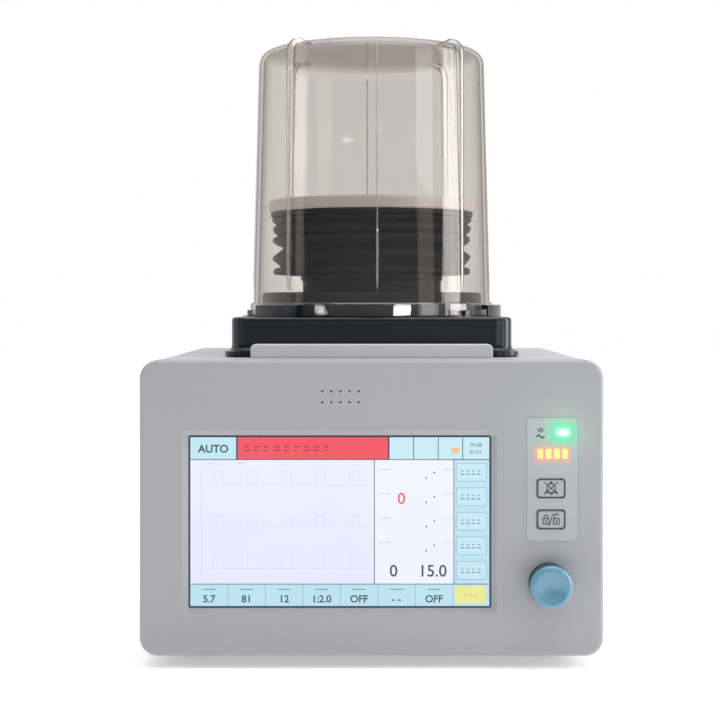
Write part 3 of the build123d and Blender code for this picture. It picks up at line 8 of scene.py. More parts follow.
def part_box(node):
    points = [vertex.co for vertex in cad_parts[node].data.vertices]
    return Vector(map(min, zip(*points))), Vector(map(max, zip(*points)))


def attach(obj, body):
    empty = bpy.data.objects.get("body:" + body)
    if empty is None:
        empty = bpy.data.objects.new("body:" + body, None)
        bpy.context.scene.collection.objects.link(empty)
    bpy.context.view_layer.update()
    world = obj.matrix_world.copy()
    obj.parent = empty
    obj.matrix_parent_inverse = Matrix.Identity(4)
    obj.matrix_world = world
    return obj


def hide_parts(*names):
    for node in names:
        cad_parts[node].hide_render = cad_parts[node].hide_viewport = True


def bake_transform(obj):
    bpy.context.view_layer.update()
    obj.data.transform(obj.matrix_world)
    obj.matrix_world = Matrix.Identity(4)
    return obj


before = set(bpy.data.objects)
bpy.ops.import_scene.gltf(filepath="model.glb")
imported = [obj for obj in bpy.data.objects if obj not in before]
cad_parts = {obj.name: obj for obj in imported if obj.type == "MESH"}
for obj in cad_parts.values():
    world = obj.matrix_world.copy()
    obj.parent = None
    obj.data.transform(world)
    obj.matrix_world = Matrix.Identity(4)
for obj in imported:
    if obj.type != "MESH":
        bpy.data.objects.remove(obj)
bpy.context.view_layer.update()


# ------------------------------------------------------------------ studio
# A white sweep with light from above, a dimmer room on the side the front faces, a tall soft
# box at the right, and a long lens at the height of the bellows base.

scene = bpy.context.scene
scene.view_settings.view_transform = "Standard"
scene.view_settings.look = "None"

front_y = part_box("front_panel")[0].y
lens = bpy.data.cameras.new("lens")
lens.sensor_width = 36.0
lens.lens = 76.0
lens.shift_x = -0.0174
lens.shift_y = -0.0819
lens.clip_start = 0.05
camera = bpy.data.objects.new("camera", lens)
camera.location = (0.0006, front_y - 1.0, 0.242)
camera.rotation_euler = (math.radians(90), 0, 0)
scene.collection.objects.link(camera)
scene.camera = camera


class Socket:
    """One value in a material. Arithmetic on it adds the Math nodes."""

    def __init__(self, finish, socket):
        self.finish = finish
        self.socket = socket

    def math(self, operation, first, second=0.0):
        return self.finish.node("ShaderNodeMath", {"operation": operation}, {0: first, 1: second})

    def __add__(self, other):
        return self.math("ADD", self, other)

    def __sub__(self, other):
        return self.math("SUBTRACT", self, other)

    def __mul__(self, other):
        return self.math("MULTIPLY", self, other)

    def __pow__(self, other):
        return self.math("POWER", self, other)

    def __rsub__(self, other):
        return self.math("SUBTRACT", other, self)

    __radd__ = __add__
    __rmul__ = __mul__


class Finish:
    """A node tree with its main shader, for a material or for the surroundings."""

    def __init__(self, name, **sockets):
        self.material = bpy.data.materials.new(name)
        self.material.use_nodes = True
        self.tree = self.material.node_tree
        self.shader = self.tree.nodes["Principled BSDF"]
        self.place = self.node("ShaderNodeTexCoord", {}, {}, "Object")
        for socket, value in sockets.items():
            self.set(socket.replace("_", " "), value)

    def node(self, kind, settings, values, output=0):
        made = self.tree.nodes.new(kind)
        for setting, value in settings.items():
            setattr(made, setting, value)
        for key, value in values.items():
            self.join(value, made.inputs[key])
        return Socket(self, made.outputs[output])

    def join(self, value, socket):
        if isinstance(value, Socket):
            self.tree.links.new(value.socket, socket)
        else:
            socket.default_value = value

    def set(self, socket, value):
        self.join(value, self.shader.inputs[socket])

    def noise(self, scale, detail=2.0, roughness=0.5, place=None):
        values = {"Vector": place or self.place, "Scale": scale, "Detail": detail, "Roughness": roughness}
        return self.node("ShaderNodeTexNoise", {}, values)

    def mix(self, factor, first, second):
        return self.node("ShaderNodeMix", {"data_type": "RGBA"}, {0: factor, 6: first, 7: second}, 2)

    def band(self, value, low, high):
        values = {"Value": value, "From Min": low, "From Max": high}
        return self.node("ShaderNodeMapRange", {"interpolation_type": "SMOOTHSTEP"}, values)

    def stretched(self, x, y, z):
        return self.node("ShaderNodeMapping", {}, {"Vector": self.place, "Scale": (x, y, z)})

    def bump(self, height, strength, distance):
        values = {"Height": height, "Strength": strength, "Distance": distance}
        self.set("Normal", self.node("ShaderNodeBump", {}, values))


sweep = bpy.data.worlds.new("sweep")
sweep.use_nodes = True
scene.world = sweep
room = Finish.__new__(Finish)
room.tree = sweep.node_tree
direction = room.node("ShaderNodeTexCoord", {}, {}, "Generated")
ahead = room.node("ShaderNodeSeparateXYZ", {}, {"Vector": direction}, "Y")
above = room.node("ShaderNodeSeparateXYZ", {}, {"Vector": direction}, "Z")
lit_side = room.band(ahead, -0.10, 0.03)
lit_top = room.band(above, 0.30, 0.80)
room_light = 0.07 + lit_side.math("MAXIMUM", lit_side * 0.78, lit_top * 0.95)
seen = room.node("ShaderNodeLightPath", {}, {}, "Is Camera Ray")
backdrop = sweep.node_tree.nodes["Background"]
room_colour = room.mix(lit_side, (0.96, 0.98, 1.0, 1), (1.0, 0.99, 0.98, 1))
room.join(room.mix(seen, room_colour, (1, 1, 1, 1)), backdrop.inputs["Color"])
room.join(room_light * (1 - seen) + seen, backdrop.inputs["Strength"])

floor_mesh = bmesh.new()
bmesh.ops.create_grid(floor_mesh, x_segments=1, y_segments=1, size=6.0)
floor_data = bpy.data.meshes.new("studio_floor")
floor_mesh.to_mesh(floor_data)
floor_mesh.free()
studio_floor = bpy.data.objects.new("studio_floor", floor_data)
scene.collection.objects.link(studio_floor)
paper = Finish("studio_paper", Roughness=0.9)
paper.shader.inputs["Specular IOR Level"].default_value = 0.1
paper.set("Base Color", paper.mix(paper.noise(3.0), (0.90, 0.90, 0.90, 1), (0.94, 0.94, 0.94, 1)))
paper.set("Emission Color", paper.mix(paper.noise(2.0), (0.98, 0.98, 0.98, 1), (1, 1, 1, 1)))
paper.shader.inputs["Emission Strength"].default_value = 0.30
floor_data.materials.append(paper.material)


def soft_box(name, place, aim, width, height, watts, colour=(1, 1, 1)):
    """A rectangular lamp at a place, facing another."""
    lamp = bpy.data.lights.new(name, "AREA")
    lamp.shape = "RECTANGLE"
    lamp.size = width
    lamp.size_y = height
    lamp.energy = watts
    lamp.color = colour
    carrier = bpy.data.objects.new(name, lamp)
    carrier.location = place
    carrier.rotation_mode = "QUATERNION"
    carrier.rotation_quaternion = (Vector(aim) - Vector(place)).to_track_quat("-Z", "Y")
    scene.collection.objects.link(carrier)


soft_box("overhead", (0.2, -0.1, 1.9), (0, 0, 0.2), 1.6, 1.6, 16)
soft_box("tall_right", (1.49, -0.07, 0.55), (0, 0.03, 0.35), 0.56, 1.5, 15, (1.0, 0.99, 0.97))
soft_box("window_right", (1.20, -0.84, 0.50), (0, 0.03, 0.30), 0.46, 0.90, 2.4)
soft_box("left_fill", (-1.6, -0.35, 0.6), (0, 0, 0.2), 0.3, 1.0, 0.9)
soft_box("low_right", (0.454, -0.861, 0.230), (0, 0.03, 0.236), 0.26, 0.012, 0.22)
soft_box("low_left", (-0.725, -0.658, 0.231), (0, 0.03, 0.236), 0.16, 0.007, 0.04)


# ------------------------------------------------------------------ front panel and bar
# The front is one moulded shell in light grey plastic with a fine spark-eroded texture. The
# bar in front of the bellows base is moulded in the same grey.


def dress(node, finish):
    """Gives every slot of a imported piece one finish."""
    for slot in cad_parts[node].material_slots:
        slot.material = finish.material


panel_grey = Finish("panel_grey")
cloud = panel_grey.noise(9.0, 3.0)
panel_grain = panel_grey.noise(1400.0, 3.0, 0.6)
panel_mottle = panel_grey.noise(260.0, 2.0)
base_tone = panel_grey.mix(cloud, (0.368, 0.365, 0.384, 1), (0.394, 0.392, 0.404, 1))
panel_grey.set(
    "Base Color", panel_grey.mix(panel_mottle * 0.35, base_tone, (0.424, 0.424, 0.430, 1))
)
panel_grey.set("Roughness", 0.40 + panel_mottle * 0.16 + cloud * 0.05)
panel_grey.shader.inputs["Specular IOR Level"].default_value = 0.4
panel_grey.bump(panel_grain + panel_mottle * 0.5, 0.22, 0.00012)
dress("front_panel", panel_grey)

bar_grey = Finish("bar_grey")
bar_cloud = bar_grey.noise(14.0, 3.0)
bar_grain = bar_grey.noise(1400.0, 3.0, 0.6)
bar_grey.set("Base Color", bar_grey.mix(bar_cloud, (0.700, 0.694, 0.698, 1), (0.750, 0.744, 0.742, 1)))
bar_grey.set("Roughness", 0.36 + bar_grain * 0.16)
bar_grey.bump(bar_grain, 0.2, 0.0001)
dress("retaining_bar", bar_grey)


# ------------------------------------------------------------------ touch display
# A glass touch panel over a lit display. The picture is white and pale blue cells with a red
# alarm strip, figures in dark blue, and a thin navy border where the lit area ends.

glass_low, glass_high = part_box("display_glass")
bezel_hidden = 0.003
screen_left = glass_low.x + bezel_hidden
screen_right = glass_high.x - bezel_hidden
screen_low = glass_low.z + bezel_hidden
screen_high = glass_high.z - bezel_hidden
glass_face = glass_low.y
layer_step = 0.00004
merge_gap = 0.000002


def settle(shape, name, sharp=35.0):
    """Merges doubles, turns faces outward, marks sharp edges and makes the object."""
    bmesh.ops.remove_doubles(shape, verts=shape.verts, dist=merge_gap)
    bmesh.ops.recalc_face_normals(shape, faces=shape.faces)
    for face in shape.faces:
        face.smooth = True
    for edge in shape.edges:
        if len(edge.link_faces) == 2 and edge.calc_face_angle() > math.radians(sharp):
            edge.smooth = False
    mesh = bpy.data.meshes.new(name)
    shape.to_mesh(mesh)
    shape.free()
    piece = bpy.data.objects.new(name, mesh)
    scene.collection.objects.link(piece)
    return piece


def lit(name, low_colour, high_colour):
    """Display colour: mostly its own light, brighter towards one side, under smooth glass."""
    finish = Finish(name, Roughness=0.16)
    finish.shader.inputs["Specular IOR Level"].default_value = 0.35
    finish.shader.inputs["Emission Strength"].default_value = 1.0
    height = finish.node("ShaderNodeSeparateXYZ", {}, {"Vector": finish.place}, "Z")
    rise = finish.band(height, screen_low, screen_high)
    shimmer = finish.noise(40.0, 1.0)
    tone = finish.mix(rise * 0.7 + shimmer * 0.3, low_colour, high_colour)
    finish.set("Emission Color", tone)
    finish.set("Base Color", finish.mix(shimmer, (0.02, 0.02, 0.025, 1), (0.03, 0.03, 0.035, 1)))
    return finish


screen_finishes = {
    "navy": lit("screen_navy", (0.003, 0.010, 0.045, 1), (0.006, 0.016, 0.060, 1)),
    "lavender": lit("screen_lavender", (0.73, 0.75, 0.93, 1), (0.82, 0.84, 0.98, 1)),
    "white": lit("screen_white", (0.80, 0.83, 0.91, 1), (0.86, 0.88, 0.95, 1)),
    "cyan": lit("screen_cyan", (0.44, 0.70, 0.80, 1), (0.52, 0.78, 0.87, 1)),
    "pale_cyan": lit("screen_pale_cyan", (0.50, 0.74, 0.83, 1), (0.57, 0.80, 0.88, 1)),
    "red": lit("screen_red", (0.80, 0.050, 0.075, 1), (0.86, 0.070, 0.095, 1)),
    "dark_red": lit("screen_dark_red", (0.42, 0.02, 0.05, 1), (0.50, 0.03, 0.06, 1)),
    "yellow": lit("screen_yellow", (0.78, 0.76, 0.24, 1), (0.84, 0.82, 0.30, 1)),
    "faint": lit("screen_faint", (0.55, 0.57, 0.75, 1), (0.60, 0.62, 0.78, 1)),
    "ink": lit("screen_ink", (0.015, 0.035, 0.06, 1), (0.02, 0.05, 0.09, 1)),
    "blue_line": lit("screen_blue_line", (0.12, 0.28, 0.45, 1), (0.16, 0.34, 0.52, 1)),
    "orange": lit("screen_orange", (0.90, 0.42, 0.12, 1), (0.95, 0.50, 0.16, 1)),
}
screen_slots = {colour: index for index, colour in enumerate(screen_finishes)}
screen = bmesh.new()


def upright(x, y, z):
    """Placement that stands a flat drawing up so that it faces the front."""
    return Matrix.Translation((x, y, z)) @ Matrix.Rotation(math.radians(90), 4, "X")


def patch(left, low, width, height, layer, colour, corner=0.0):
    """Flat coloured area of the picture, on one of its layers."""
    y = glass_face - layer * layer_step
    size = Matrix.Diagonal((width, height, 1, 1))
    place = upright(left + width / 2, y, low + height / 2) @ size
    made = bmesh.ops.create_grid(screen, x_segments=1, y_segments=1, size=0.5, matrix=place)
    faces = {face for vert in made["verts"] for face in vert.link_faces}
    for face in faces:
        face.material_index = screen_slots[colour]
    if corner > 0:
        bmesh.ops.bevel(
            screen, geom=made["verts"], offset=corner, affect="VERTICES", segments=4,
            profile=0.5, material=-1,
        )


def figures(text, middle, foot, height, layer, colour, weight=0.0):
    """Figures of the picture, centred over a point."""
    curve = bpy.data.curves.new("figures", "FONT")
    curve.body = text
    curve.align_x = "CENTER"
    curve.size = height / 0.70
    curve.offset = weight
    curve.resolution_u = 4
    carrier = bpy.data.objects.new("figures", curve)
    flat = bpy.data.meshes.new_from_object(carrier)
    flat.transform(upright(middle, glass_face - layer * layer_step, foot))
    known = len(screen.faces)
    screen.from_mesh(flat)
    screen.faces.ensure_lookup_table()
    for face in screen.faces[known:]:
        face.material_index = screen_slots[colour]
    bpy.data.objects.remove(carrier)
    bpy.data.meshes.remove(flat)
    bpy.data.curves.remove(curve)


# The glass slab itself, its front edges just broken.
slab = bmesh.ops.create_cube(
    screen,
    size=1.0,
    matrix=Matrix.Translation((glass_low + glass_high) / 2)
    @ Matrix.Diagonal((*(glass_high - glass_low), 1)),
)
slab_edges = list({edge for vert in slab["verts"] for edge in vert.link_edges})
bmesh.ops.bevel(
    screen, geom=slab_edges, offset=0.0002, affect="EDGES", segments=2, profile=0.5, material=-1
)

border = 0.0013
header = 0.0150
footer = 0.0147
picture_left = screen_left + border
picture_right = screen_right - border
picture_low = screen_low + border
picture_high = screen_high - border
wave_width = 0.1213
pane_width = 0.0520
gap = 0.0005
header_low = picture_high - header
footer_high = picture_low + footer
pane_left = picture_left + wave_width + gap
column_left = pane_left + pane_width + gap
column_width = picture_right - column_left

patch(picture_left, footer_high, wave_width, header_low - footer_high, 1, "lavender")
patch(pane_left, footer_high, pane_width, header_low - footer_high, 1, "white")
patch(column_left, footer_high, column_width, header_low - footer_high, 1, "cyan")

# Header: mode cell, alarm strip with a row of plain blocks, and four status cells.
mode_width = 0.0302
alarm_width = 0.0993
patch(picture_left, header_low + gap, mode_width, header - gap, 1, "cyan")
figures("AUTO", picture_left + mode_width / 2, header_low + 0.0050, 0.0050, 2, "ink", 0.00016)
alarm_left = picture_left + mode_width + 2 * gap
patch(alarm_left, header_low + gap, alarm_width, header - gap, 1, "red")
for mark in range(9):
    mark_left = alarm_left + 0.0040 + mark * 0.0066
    patch(mark_left, header_low + 0.0058, 0.0044 - 0.0010 * (mark % 3), 0.0012, 2, "dark_red")
    patch(mark_left, header_low + 0.0082, 0.0034 + 0.0008 * (mark % 2), 0.0012, 2, "dark_red")
status_left = alarm_left + alarm_width + 2 * gap
status_pitch = 0.0162
for cell in range(4):
    cell_left = status_left + cell * status_pitch
    cell_width = status_pitch - gap if cell < 3 else picture_right - cell_left
    patch(cell_left, header_low + gap, cell_width, header - gap, 1, "pale_cyan")
battery_left = status_left + 2 * status_pitch + 0.0085
patch(battery_left, header_low + 0.0048, 0.0046, 0.0030, 2, "orange")
patch(battery_left + 0.0046, header_low + 0.0056, 0.0008, 0.0014, 2, "orange")
clock_middle = status_left + 3 * status_pitch + 0.0086
figures("07:08", clock_middle, header_low + 0.0088, 0.0024, 2, "ink")
figures("01/01", clock_middle, header_low + 0.0042, 0.0024, 2, "ink")

# Waveform pane: an axis for each of three traces, and their slow faint curves.
axis_left = picture_left + 0.0072
pane_height = header_low - footer_high
patch(axis_left, footer_high + 0.004, 0.0003, pane_height - 0.008, 2, "faint")
for trace in range(3):
    foot = footer_high + 0.010 + trace * 0.0275
    patch(axis_left - 0.0016, foot, 0.0016, 0.0003, 2, "faint")
    patch(axis_left, foot, 0.1100, 0.00018, 2, "faint")
    for beat in range(5):
        crest = axis_left + 0.008 + beat * 0.0225
        rise = 0.0095 if trace != 1 else 0.0070
        patch(crest, foot, 0.00022, rise, 2, "faint")
        patch(crest, foot + rise, 0.0062, 0.00022, 2, "faint")
        patch(crest + 0.0062, foot, 0.00022, rise, 2, "faint")
for tick in range(2):
    patch(picture_left + 0.0104 + tick * 0.0210, header_low - 0.0024, 0.0050, 0.0007, 2, "faint")

# Reading pane: paired limit marks, and three readings.
limit_x = pane_left + 0.0335
for row in range(4):
    row_low = header_low - 0.0088 - row * 0.0160
    patch(limit_x + 0.0052, row_low, 0.0010, 0.0010, 2, "ink")
    patch(limit_x, row_low - 0.0036, 0.0010, 0.0010, 2, "ink")
    patch(limit_x + 0.0120, row_low + 0.0022, 0.0065, 0.0006, 2, "faint")
    patch(pane_left + 0.0022, row_low + 0.0022, 0.0085, 0.0006, 2, "faint")
figures("0", pane_left + 0.0176, header_low - 0.0290, 0.0074, 2, "red", 0.00008)
figures("0", pane_left + 0.0124, footer_high + 0.0048, 0.0077, 2, "ink", 0.00010)
figures("15.0", pane_left + 0.0382, footer_high + 0.0048, 0.0077, 2, "ink", 0.00010)

# Right column: five soft keys.
key_rise = 0.0122
key_pitch = 0.0162
for key in range(5):
    key_low = header_low - 0.0020 - key_rise - key * key_pitch
    patch(column_left + 0.0012, key_low, column_width - 0.0030, key_rise, 2, "blue_line", 0.0009)
    patch(
        column_left + 0.0015, key_low + 0.0003, column_width - 0.0036, key_rise - 0.0006, 3,
        "pale_cyan", 0.0008,
    )
    for mark in range(4):
        patch(column_left + 0.0042 + mark * 0.0036, key_low + 0.0044, 0.0024, 0.0008, 4, "blue_line")
        patch(column_left + 0.0046 + mark * 0.0036, key_low + 0.0066, 0.0016, 0.0007, 4, "blue_line")

# Footer: seven setting cells with a value each, and a yellow confirm key.
cell_pitch = 0.02475
settings = ("5.7", "81", "12", "1:2.0", "OFF", "- -", "OFF")
patch(picture_left, picture_low, picture_right - picture_left, footer - gap, 1, "cyan")
for cell, value in enumerate(settings):
    cell_middle = picture_left + (cell + 0.5) * cell_pitch
    figures(value, cell_middle, picture_low + 0.0024, 0.0047, 2, "ink", 0.00014)
    patch(cell_middle - 0.0042, picture_low + 0.0106, 0.0084, 0.0007, 2, "blue_line")
    patch(picture_left + (cell + 1) * cell_pitch, picture_low, 0.0003, footer - gap, 2, "blue_line")
confirm_left = picture_left + 7 * cell_pitch + 0.0014
patch(confirm_left, picture_low + 0.0018, 0.0205, 0.0115, 2, "yellow", 0.0010)
for mark in range(3):
    patch(confirm_left + 0.0062 + mark * 0.0030, picture_low + 0.0070, 0.0020, 0.0008, 3, "orange")

touch_screen = settle(screen, "touch_screen", 20.0)
for finish in screen_finishes.values():
    touch_screen.data.materials.append(finish.material)
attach(touch_screen, "ventilator")
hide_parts("display_glass")


# ------------------------------------------------------------------ keypad
# A satin polyester film bonded to the front, a little greener than the panel, with a mains
# mark. The glow of the lamps behind it is painted on the film around them, into its colour and as light of
# its own.

film_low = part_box("keypad_film")[0]
lamp_low, lamp_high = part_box("mains_lamp")
bars_low, bars_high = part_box("battery_bars")
lamp_middle = (lamp_low + lamp_high) / 2
bars_middle = (bars_low + bars_high) / 2


def halo(finish, middle, wide, high, reach):
    """Light that fades outward from a lamp window of a given half size."""
    split = [
        finish.node("ShaderNodeSeparateXYZ", {}, {"Vector": finish.place}, axis) for axis in "XZ"
    ]
    across = (split[0] - middle.x).math("ABSOLUTE", split[0] - middle.x)
    up = (split[1] - middle.z).math("ABSOLUTE", split[1] - middle.z)
    past_x = across.math("MAXIMUM", across - wide, 0.0)
    past_z = up.math("MAXIMUM", up - high, 0.0)
    distance = past_x.math("SQRT", past_x * past_x + past_z * past_z)
    return (1 - finish.band(distance, 0.0, reach)) ** 2.2


film_grey = Finish("film_grey", Roughness=0.34)
film_print = film_grey.noise(30.0, 3.0)
film_texture = film_grey.noise(2200.0, 2.0)
film_tone = film_grey.mix(film_print, (0.400, 0.422, 0.432, 1), (0.430, 0.448, 0.456, 1))
film_grey.set("Roughness", 0.32 + film_texture * 0.12)
film_grey.bump(film_texture, 0.12, 0.00005)
# Painted glow: pools of green and amber lamp light are painted into the film's colour and emission around
# the lamps.
green_halo = halo(film_grey, lamp_middle, 0.0030, 0.0016, 0.0150)
green_core = halo(film_grey, lamp_middle, 0.0030, 0.0010, 0.0042)
amber_halo = halo(film_grey, bars_middle, 0.0096, 0.0028, 0.0062)
painted_glow_tone = film_grey.mix(green_halo * 0.85, film_tone, (0.045, 0.330, 0.170, 1))
film_grey.set("Base Color", film_grey.mix(amber_halo * 0.6, painted_glow_tone, (0.42, 0.16, 0.14, 1)))
green_glow = film_grey.mix(green_core, (0.015, 0.30, 0.13, 1), (0.62, 0.95, 0.78, 1))
amber_wins = amber_halo.math("GREATER_THAN", amber_halo, green_halo)
glow_colour = film_grey.mix(amber_wins, green_glow, (0.85, 0.25, 0.10, 1))
glow_amount = green_halo.math("MAXIMUM", green_halo * 0.80 + green_core * 0.5, amber_halo * 0.55)
film_grey.set("Emission Color", film_grey.mix(glow_amount, (0, 0, 0, 1), glow_colour))
film_grey.shader.inputs["Emission Strength"].default_value = 0.9
dress("keypad_film", film_grey)

print_ink = Finish("print_ink", Roughness=0.45)
ink_wear = print_ink.noise(600.0, 3.0)
print_ink.set("Base Color", print_ink.mix(ink_wear, (0.006, 0.009, 0.010, 1), (0.016, 0.019, 0.020, 1)))
print_ink.set("Roughness", 0.40 + ink_wear * 0.15)
ink_rise = 0.00005
ink_spread = 1.45


def stroke(shape, points, face_y, width, closed=False):
    """Printed line through points (x, z), a raised strip wider than drawn as ink spreads."""
    path = [Vector((x, 0, z)) for x, z in points]
    width = width * ink_spread
    ends = path[1:] + path[:1] if closed else path[1:]
    for start, end in zip(path, ends):
        run = end - start
        turn = math.atan2(run.z, run.x)
        middle = (start + end) / 2
        place = (
            Matrix.Translation((middle.x, face_y - ink_rise, middle.z))
            @ Matrix.Rotation(-turn, 4, "Y")
            @ Matrix.Rotation(math.radians(90), 4, "X")
            @ Matrix.Diagonal((run.length + width * 0.9, width, 1, 1))
        )
        bmesh.ops.create_grid(shape, x_segments=1, y_segments=1, size=0.5, matrix=place)


def arc(x, z, radius, start, end, steps):
    """Points along an arc about (x, z), angles in degrees."""
    return [
        (
            x + radius * math.cos(math.radians(start + (end - start) * step / steps)),
            z + radius * math.sin(math.radians(start + (end - start) * step / steps)),
        )
        for step in range(steps + 1)
    ]


def rounded(x, z, width, height, corner, steps=5):
    """Outline of a rounded rectangle about (x, z)."""
    half_x = width / 2 - corner
    half_z = height / 2 - corner
    return (
        arc(x + half_x, z + half_z, corner, 0, 90, steps)
        + arc(x - half_x, z + half_z, corner, 90, 180, steps)
        + arc(x - half_x, z - half_z, corner, 180, 270, steps)
        + arc(x + half_x, z - half_z, corner, 270, 360, steps)
    )


mains_mark = bmesh.new()
mark_x = film_low.x + 0.0091
mark_z = bars_high.z + 0.0082
wave = [
    (mark_x + (step - 6) * 0.0004, mark_z + 0.0008 * math.sin(step * math.pi / 6))
    for step in range(13)
]
plug_z = mark_z + 0.0042
plug_line = 0.0003
stroke(mains_mark, wave, film_low.y, 0.00055)
stroke(mains_mark, arc(mark_x, plug_z, 0.0013, 0, 360, 12), film_low.y, plug_line)
stroke(mains_mark, [(mark_x - 0.0022, plug_z), (mark_x + 0.0022, plug_z)], film_low.y, plug_line)
mains_print = settle(mains_mark, "mains_print")
mains_print.data.materials.append(print_ink.material)
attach(mains_print, "ventilator")

# Keys: the same film colour on a moulded cap, printed with a frame and a plain sign.
key_grey = Finish("key_grey", Roughness=0.36)
key_print = key_grey.noise(60.0, 3.0)
key_texture = key_grey.noise(1900.0, 2.0)
key_grey.set("Base Color", key_grey.mix(key_print, (0.385, 0.406, 0.415, 1), (0.412, 0.430, 0.440, 1)))
key_grey.set("Roughness", 0.32 + key_texture * 0.14)
key_grey.bump(key_texture, 0.12, 0.00005)
dress("mute_key", key_grey)
dress("lock_key", key_grey)


def key_frame(shape, node):
    """Frame printed round a key's face. Returns the middle of the face and its height."""
    low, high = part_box(node)
    middle_x = (low.x + high.x) / 2
    middle_z = (low.z + high.z) / 2
    cap_width = high.x - low.x - 0.0024
    cap_height = high.z - low.z - 0.0024
    frame_line = rounded(middle_x, middle_z, cap_width - 0.0012, cap_height - 0.0012, 0.0017)
    stroke(shape, frame_line, low.y, 0.00055, True)
    return middle_x, middle_z, low.y


mute_print = bmesh.new()
bell_x, bell_z, bell_y = key_frame(mute_print, "mute_key")
bell = (
    [(bell_x - 0.0036, bell_z - 0.0026), (bell_x - 0.0026, bell_z - 0.0012)]
    + arc(bell_x, bell_z + 0.0006, 0.0026, 180, 0, 10)
    + [(bell_x + 0.0026, bell_z - 0.0012), (bell_x + 0.0036, bell_z - 0.0026)]
)
bell_line = 0.00045
cross_line = 0.00040
stroke(mute_print, bell, bell_y, bell_line, True)
stroke(mute_print, arc(bell_x, bell_z - 0.0029, 0.0009, 180, 360, 6), bell_y, bell_line)
stroke(mute_print, arc(bell_x, bell_z + 0.0038, 0.0005, 0, 360, 6), bell_y, cross_line)
for side in (-0.0044, 0.0044):
    cross = [(bell_x + side, bell_z + 0.0040), (bell_x - side, bell_z - 0.0038)]
    stroke(mute_print, cross, bell_y, cross_line)
mute_sign = settle(mute_print, "mute_sign")
mute_sign.data.materials.append(print_ink.material)
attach(mute_sign, "mute_button")

lock_print = bmesh.new()
lock_line = 0.00042
sign_x, sign_z, sign_y = key_frame(lock_print, "lock_key")
for side, lift in ((-1, 0.0), (1, 0.0016)):
    pad_x = sign_x + side * 0.0034
    pad_z = sign_z - 0.0012
    body = [
        (pad_x - 0.0019, pad_z - 0.0018), (pad_x + 0.0019, pad_z - 0.0018),
        (pad_x + 0.0019, pad_z + 0.0018), (pad_x - 0.0019, pad_z + 0.0018),
    ]
    stroke(lock_print, body, sign_y, lock_line, True)
    shackle = [(pad_x - 0.0012, pad_z + 0.0018)]
    shackle += arc(pad_x, pad_z + 0.0030 + lift / 2, 0.0012, 180, 0, 8)
    if side < 0:
        shackle.append((pad_x + 0.0012, pad_z + 0.0018))
    stroke(lock_print, shackle, sign_y, lock_line)
    stroke(lock_print, [(pad_x, pad_z - 0.0008), (pad_x, pad_z + 0.0006)], sign_y, 0.00050)
slash = [(sign_x - 0.0010, sign_z - 0.0036), (sign_x + 0.0010, sign_z + 0.0036)]
stroke(lock_print, slash, sign_y, 0.00038)
lock_sign = settle(lock_print, "lock_sign")
lock_sign.data.materials.append(print_ink.material)
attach(lock_sign, "lock_button")


# ------------------------------------------------------------------ lamps
# Clear light guides, lit green for mains and amber for the battery. A small lamp in front of
# the green one spreads its colour over the panel, as the real bright lamp does.


def light_guide(name, middle, core, edge, reach, strength):
    """Lit plastic, brightest at its middle."""
    finish = Finish(name, Roughness=0.2)
    heart = halo(finish, middle, 0.0006, 0.0006, reach)
    finish.set("Base Color", finish.mix(finish.noise(500.0), edge, core))
    finish.set("Emission Color", finish.mix(heart, edge, core))
    finish.shader.inputs["Emission Strength"].default_value = strength
    return finish


lamp_green = light_guide(
    "lamp_green", lamp_middle, (0.90, 1.0, 0.94, 1), (0.25, 1.0, 0.55, 1), 0.0030, 1.6
)
dress("mains_lamp", lamp_green)
lamp_amber = light_guide(
    "lamp_amber", bars_middle, (0.90, 0.62, 0.20, 1), (0.90, 0.36, 0.12, 1), 0.0120, 0.90
)
dress("battery_bars", lamp_amber)
glow = bpy.data.lights.new("mains_glow", "POINT")
glow.energy = 0.0055
glow.color = (0.15, 1.0, 0.50)
glow.shadow_soft_size = 0.004
glow_carrier = bpy.data.objects.new("mains_glow", glow)
glow_carrier.location = (lamp_middle.x, lamp_low.y - 0.010, lamp_middle.z)
scene.collection.objects.link(glow_carrier)


# ------------------------------------------------------------------ knob
# A glossy light blue cap with a rounded rim and a shallow finger dish in its face. Its side is
# painted dark blue as the shade that outlines it, and a thin dark ring on the panel under it is a painted
# contact shadow.


def turned(shape, outline, middle, axis, steps=96):
    """Spins a closed outline of points all the way round an axis through middle."""
    points = [shape.verts.new(point) for point in outline]
    edges = [shape.edges.new(pair) for pair in zip(points, points[1:] + points[:1])]
    bmesh.ops.spin(
        shape, geom=points + edges, cent=middle, axis=axis, angle=math.tau, steps=steps,
        use_merge=True,
    )


def bend(centre, radius, start, end, steps):
    """Round stretch of an outline, as (distance from the axis, height) pairs."""
    return arc(centre[0], centre[1], radius, start, end, steps)


knob_low, knob_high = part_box("knob")
knob_x = (knob_low.x + knob_high.x) / 2
knob_z = (knob_low.z + knob_high.z) / 2
knob_radius = (knob_high.x - knob_low.x) / 2
knob_length = knob_high.y - knob_low.y
rim = 0.0034
face_line = (
    [(0.0, knob_length - 0.0012), (0.0050, knob_length - 0.0008), (0.0088, knob_length - 0.0001)]
    + bend((knob_radius - 0.0002 - rim, knob_length - rim), rim, 88, 0, 10)
    + [(knob_radius - 0.0012, 0.0012), (knob_radius - 0.0020, 0.0)]
    + [(0.0112, 0.0), (0.0112, 0.0066), (0.0, 0.0066)]
)
cap = bmesh.new()
turned(
    cap, [(knob_x + r, knob_high.y - h, knob_z) for r, h in face_line], (knob_x, 0, knob_z), (0, 1, 0)
)
bmesh.ops.remove_doubles(cap, verts=cap.verts, dist=merge_gap)
bmesh.ops.subdivide_edges(
    cap,
    edges=[edge for edge in cap.edges if all(v.co.y < knob_low.y + 0.0016 for v in edge.verts)],
    cuts=3,
    use_grid_fill=True,
)
dish_x = knob_x + 0.0008
dish_z = knob_z - 0.0012
dish_radius = 0.0104
dish_depth = 0.0021
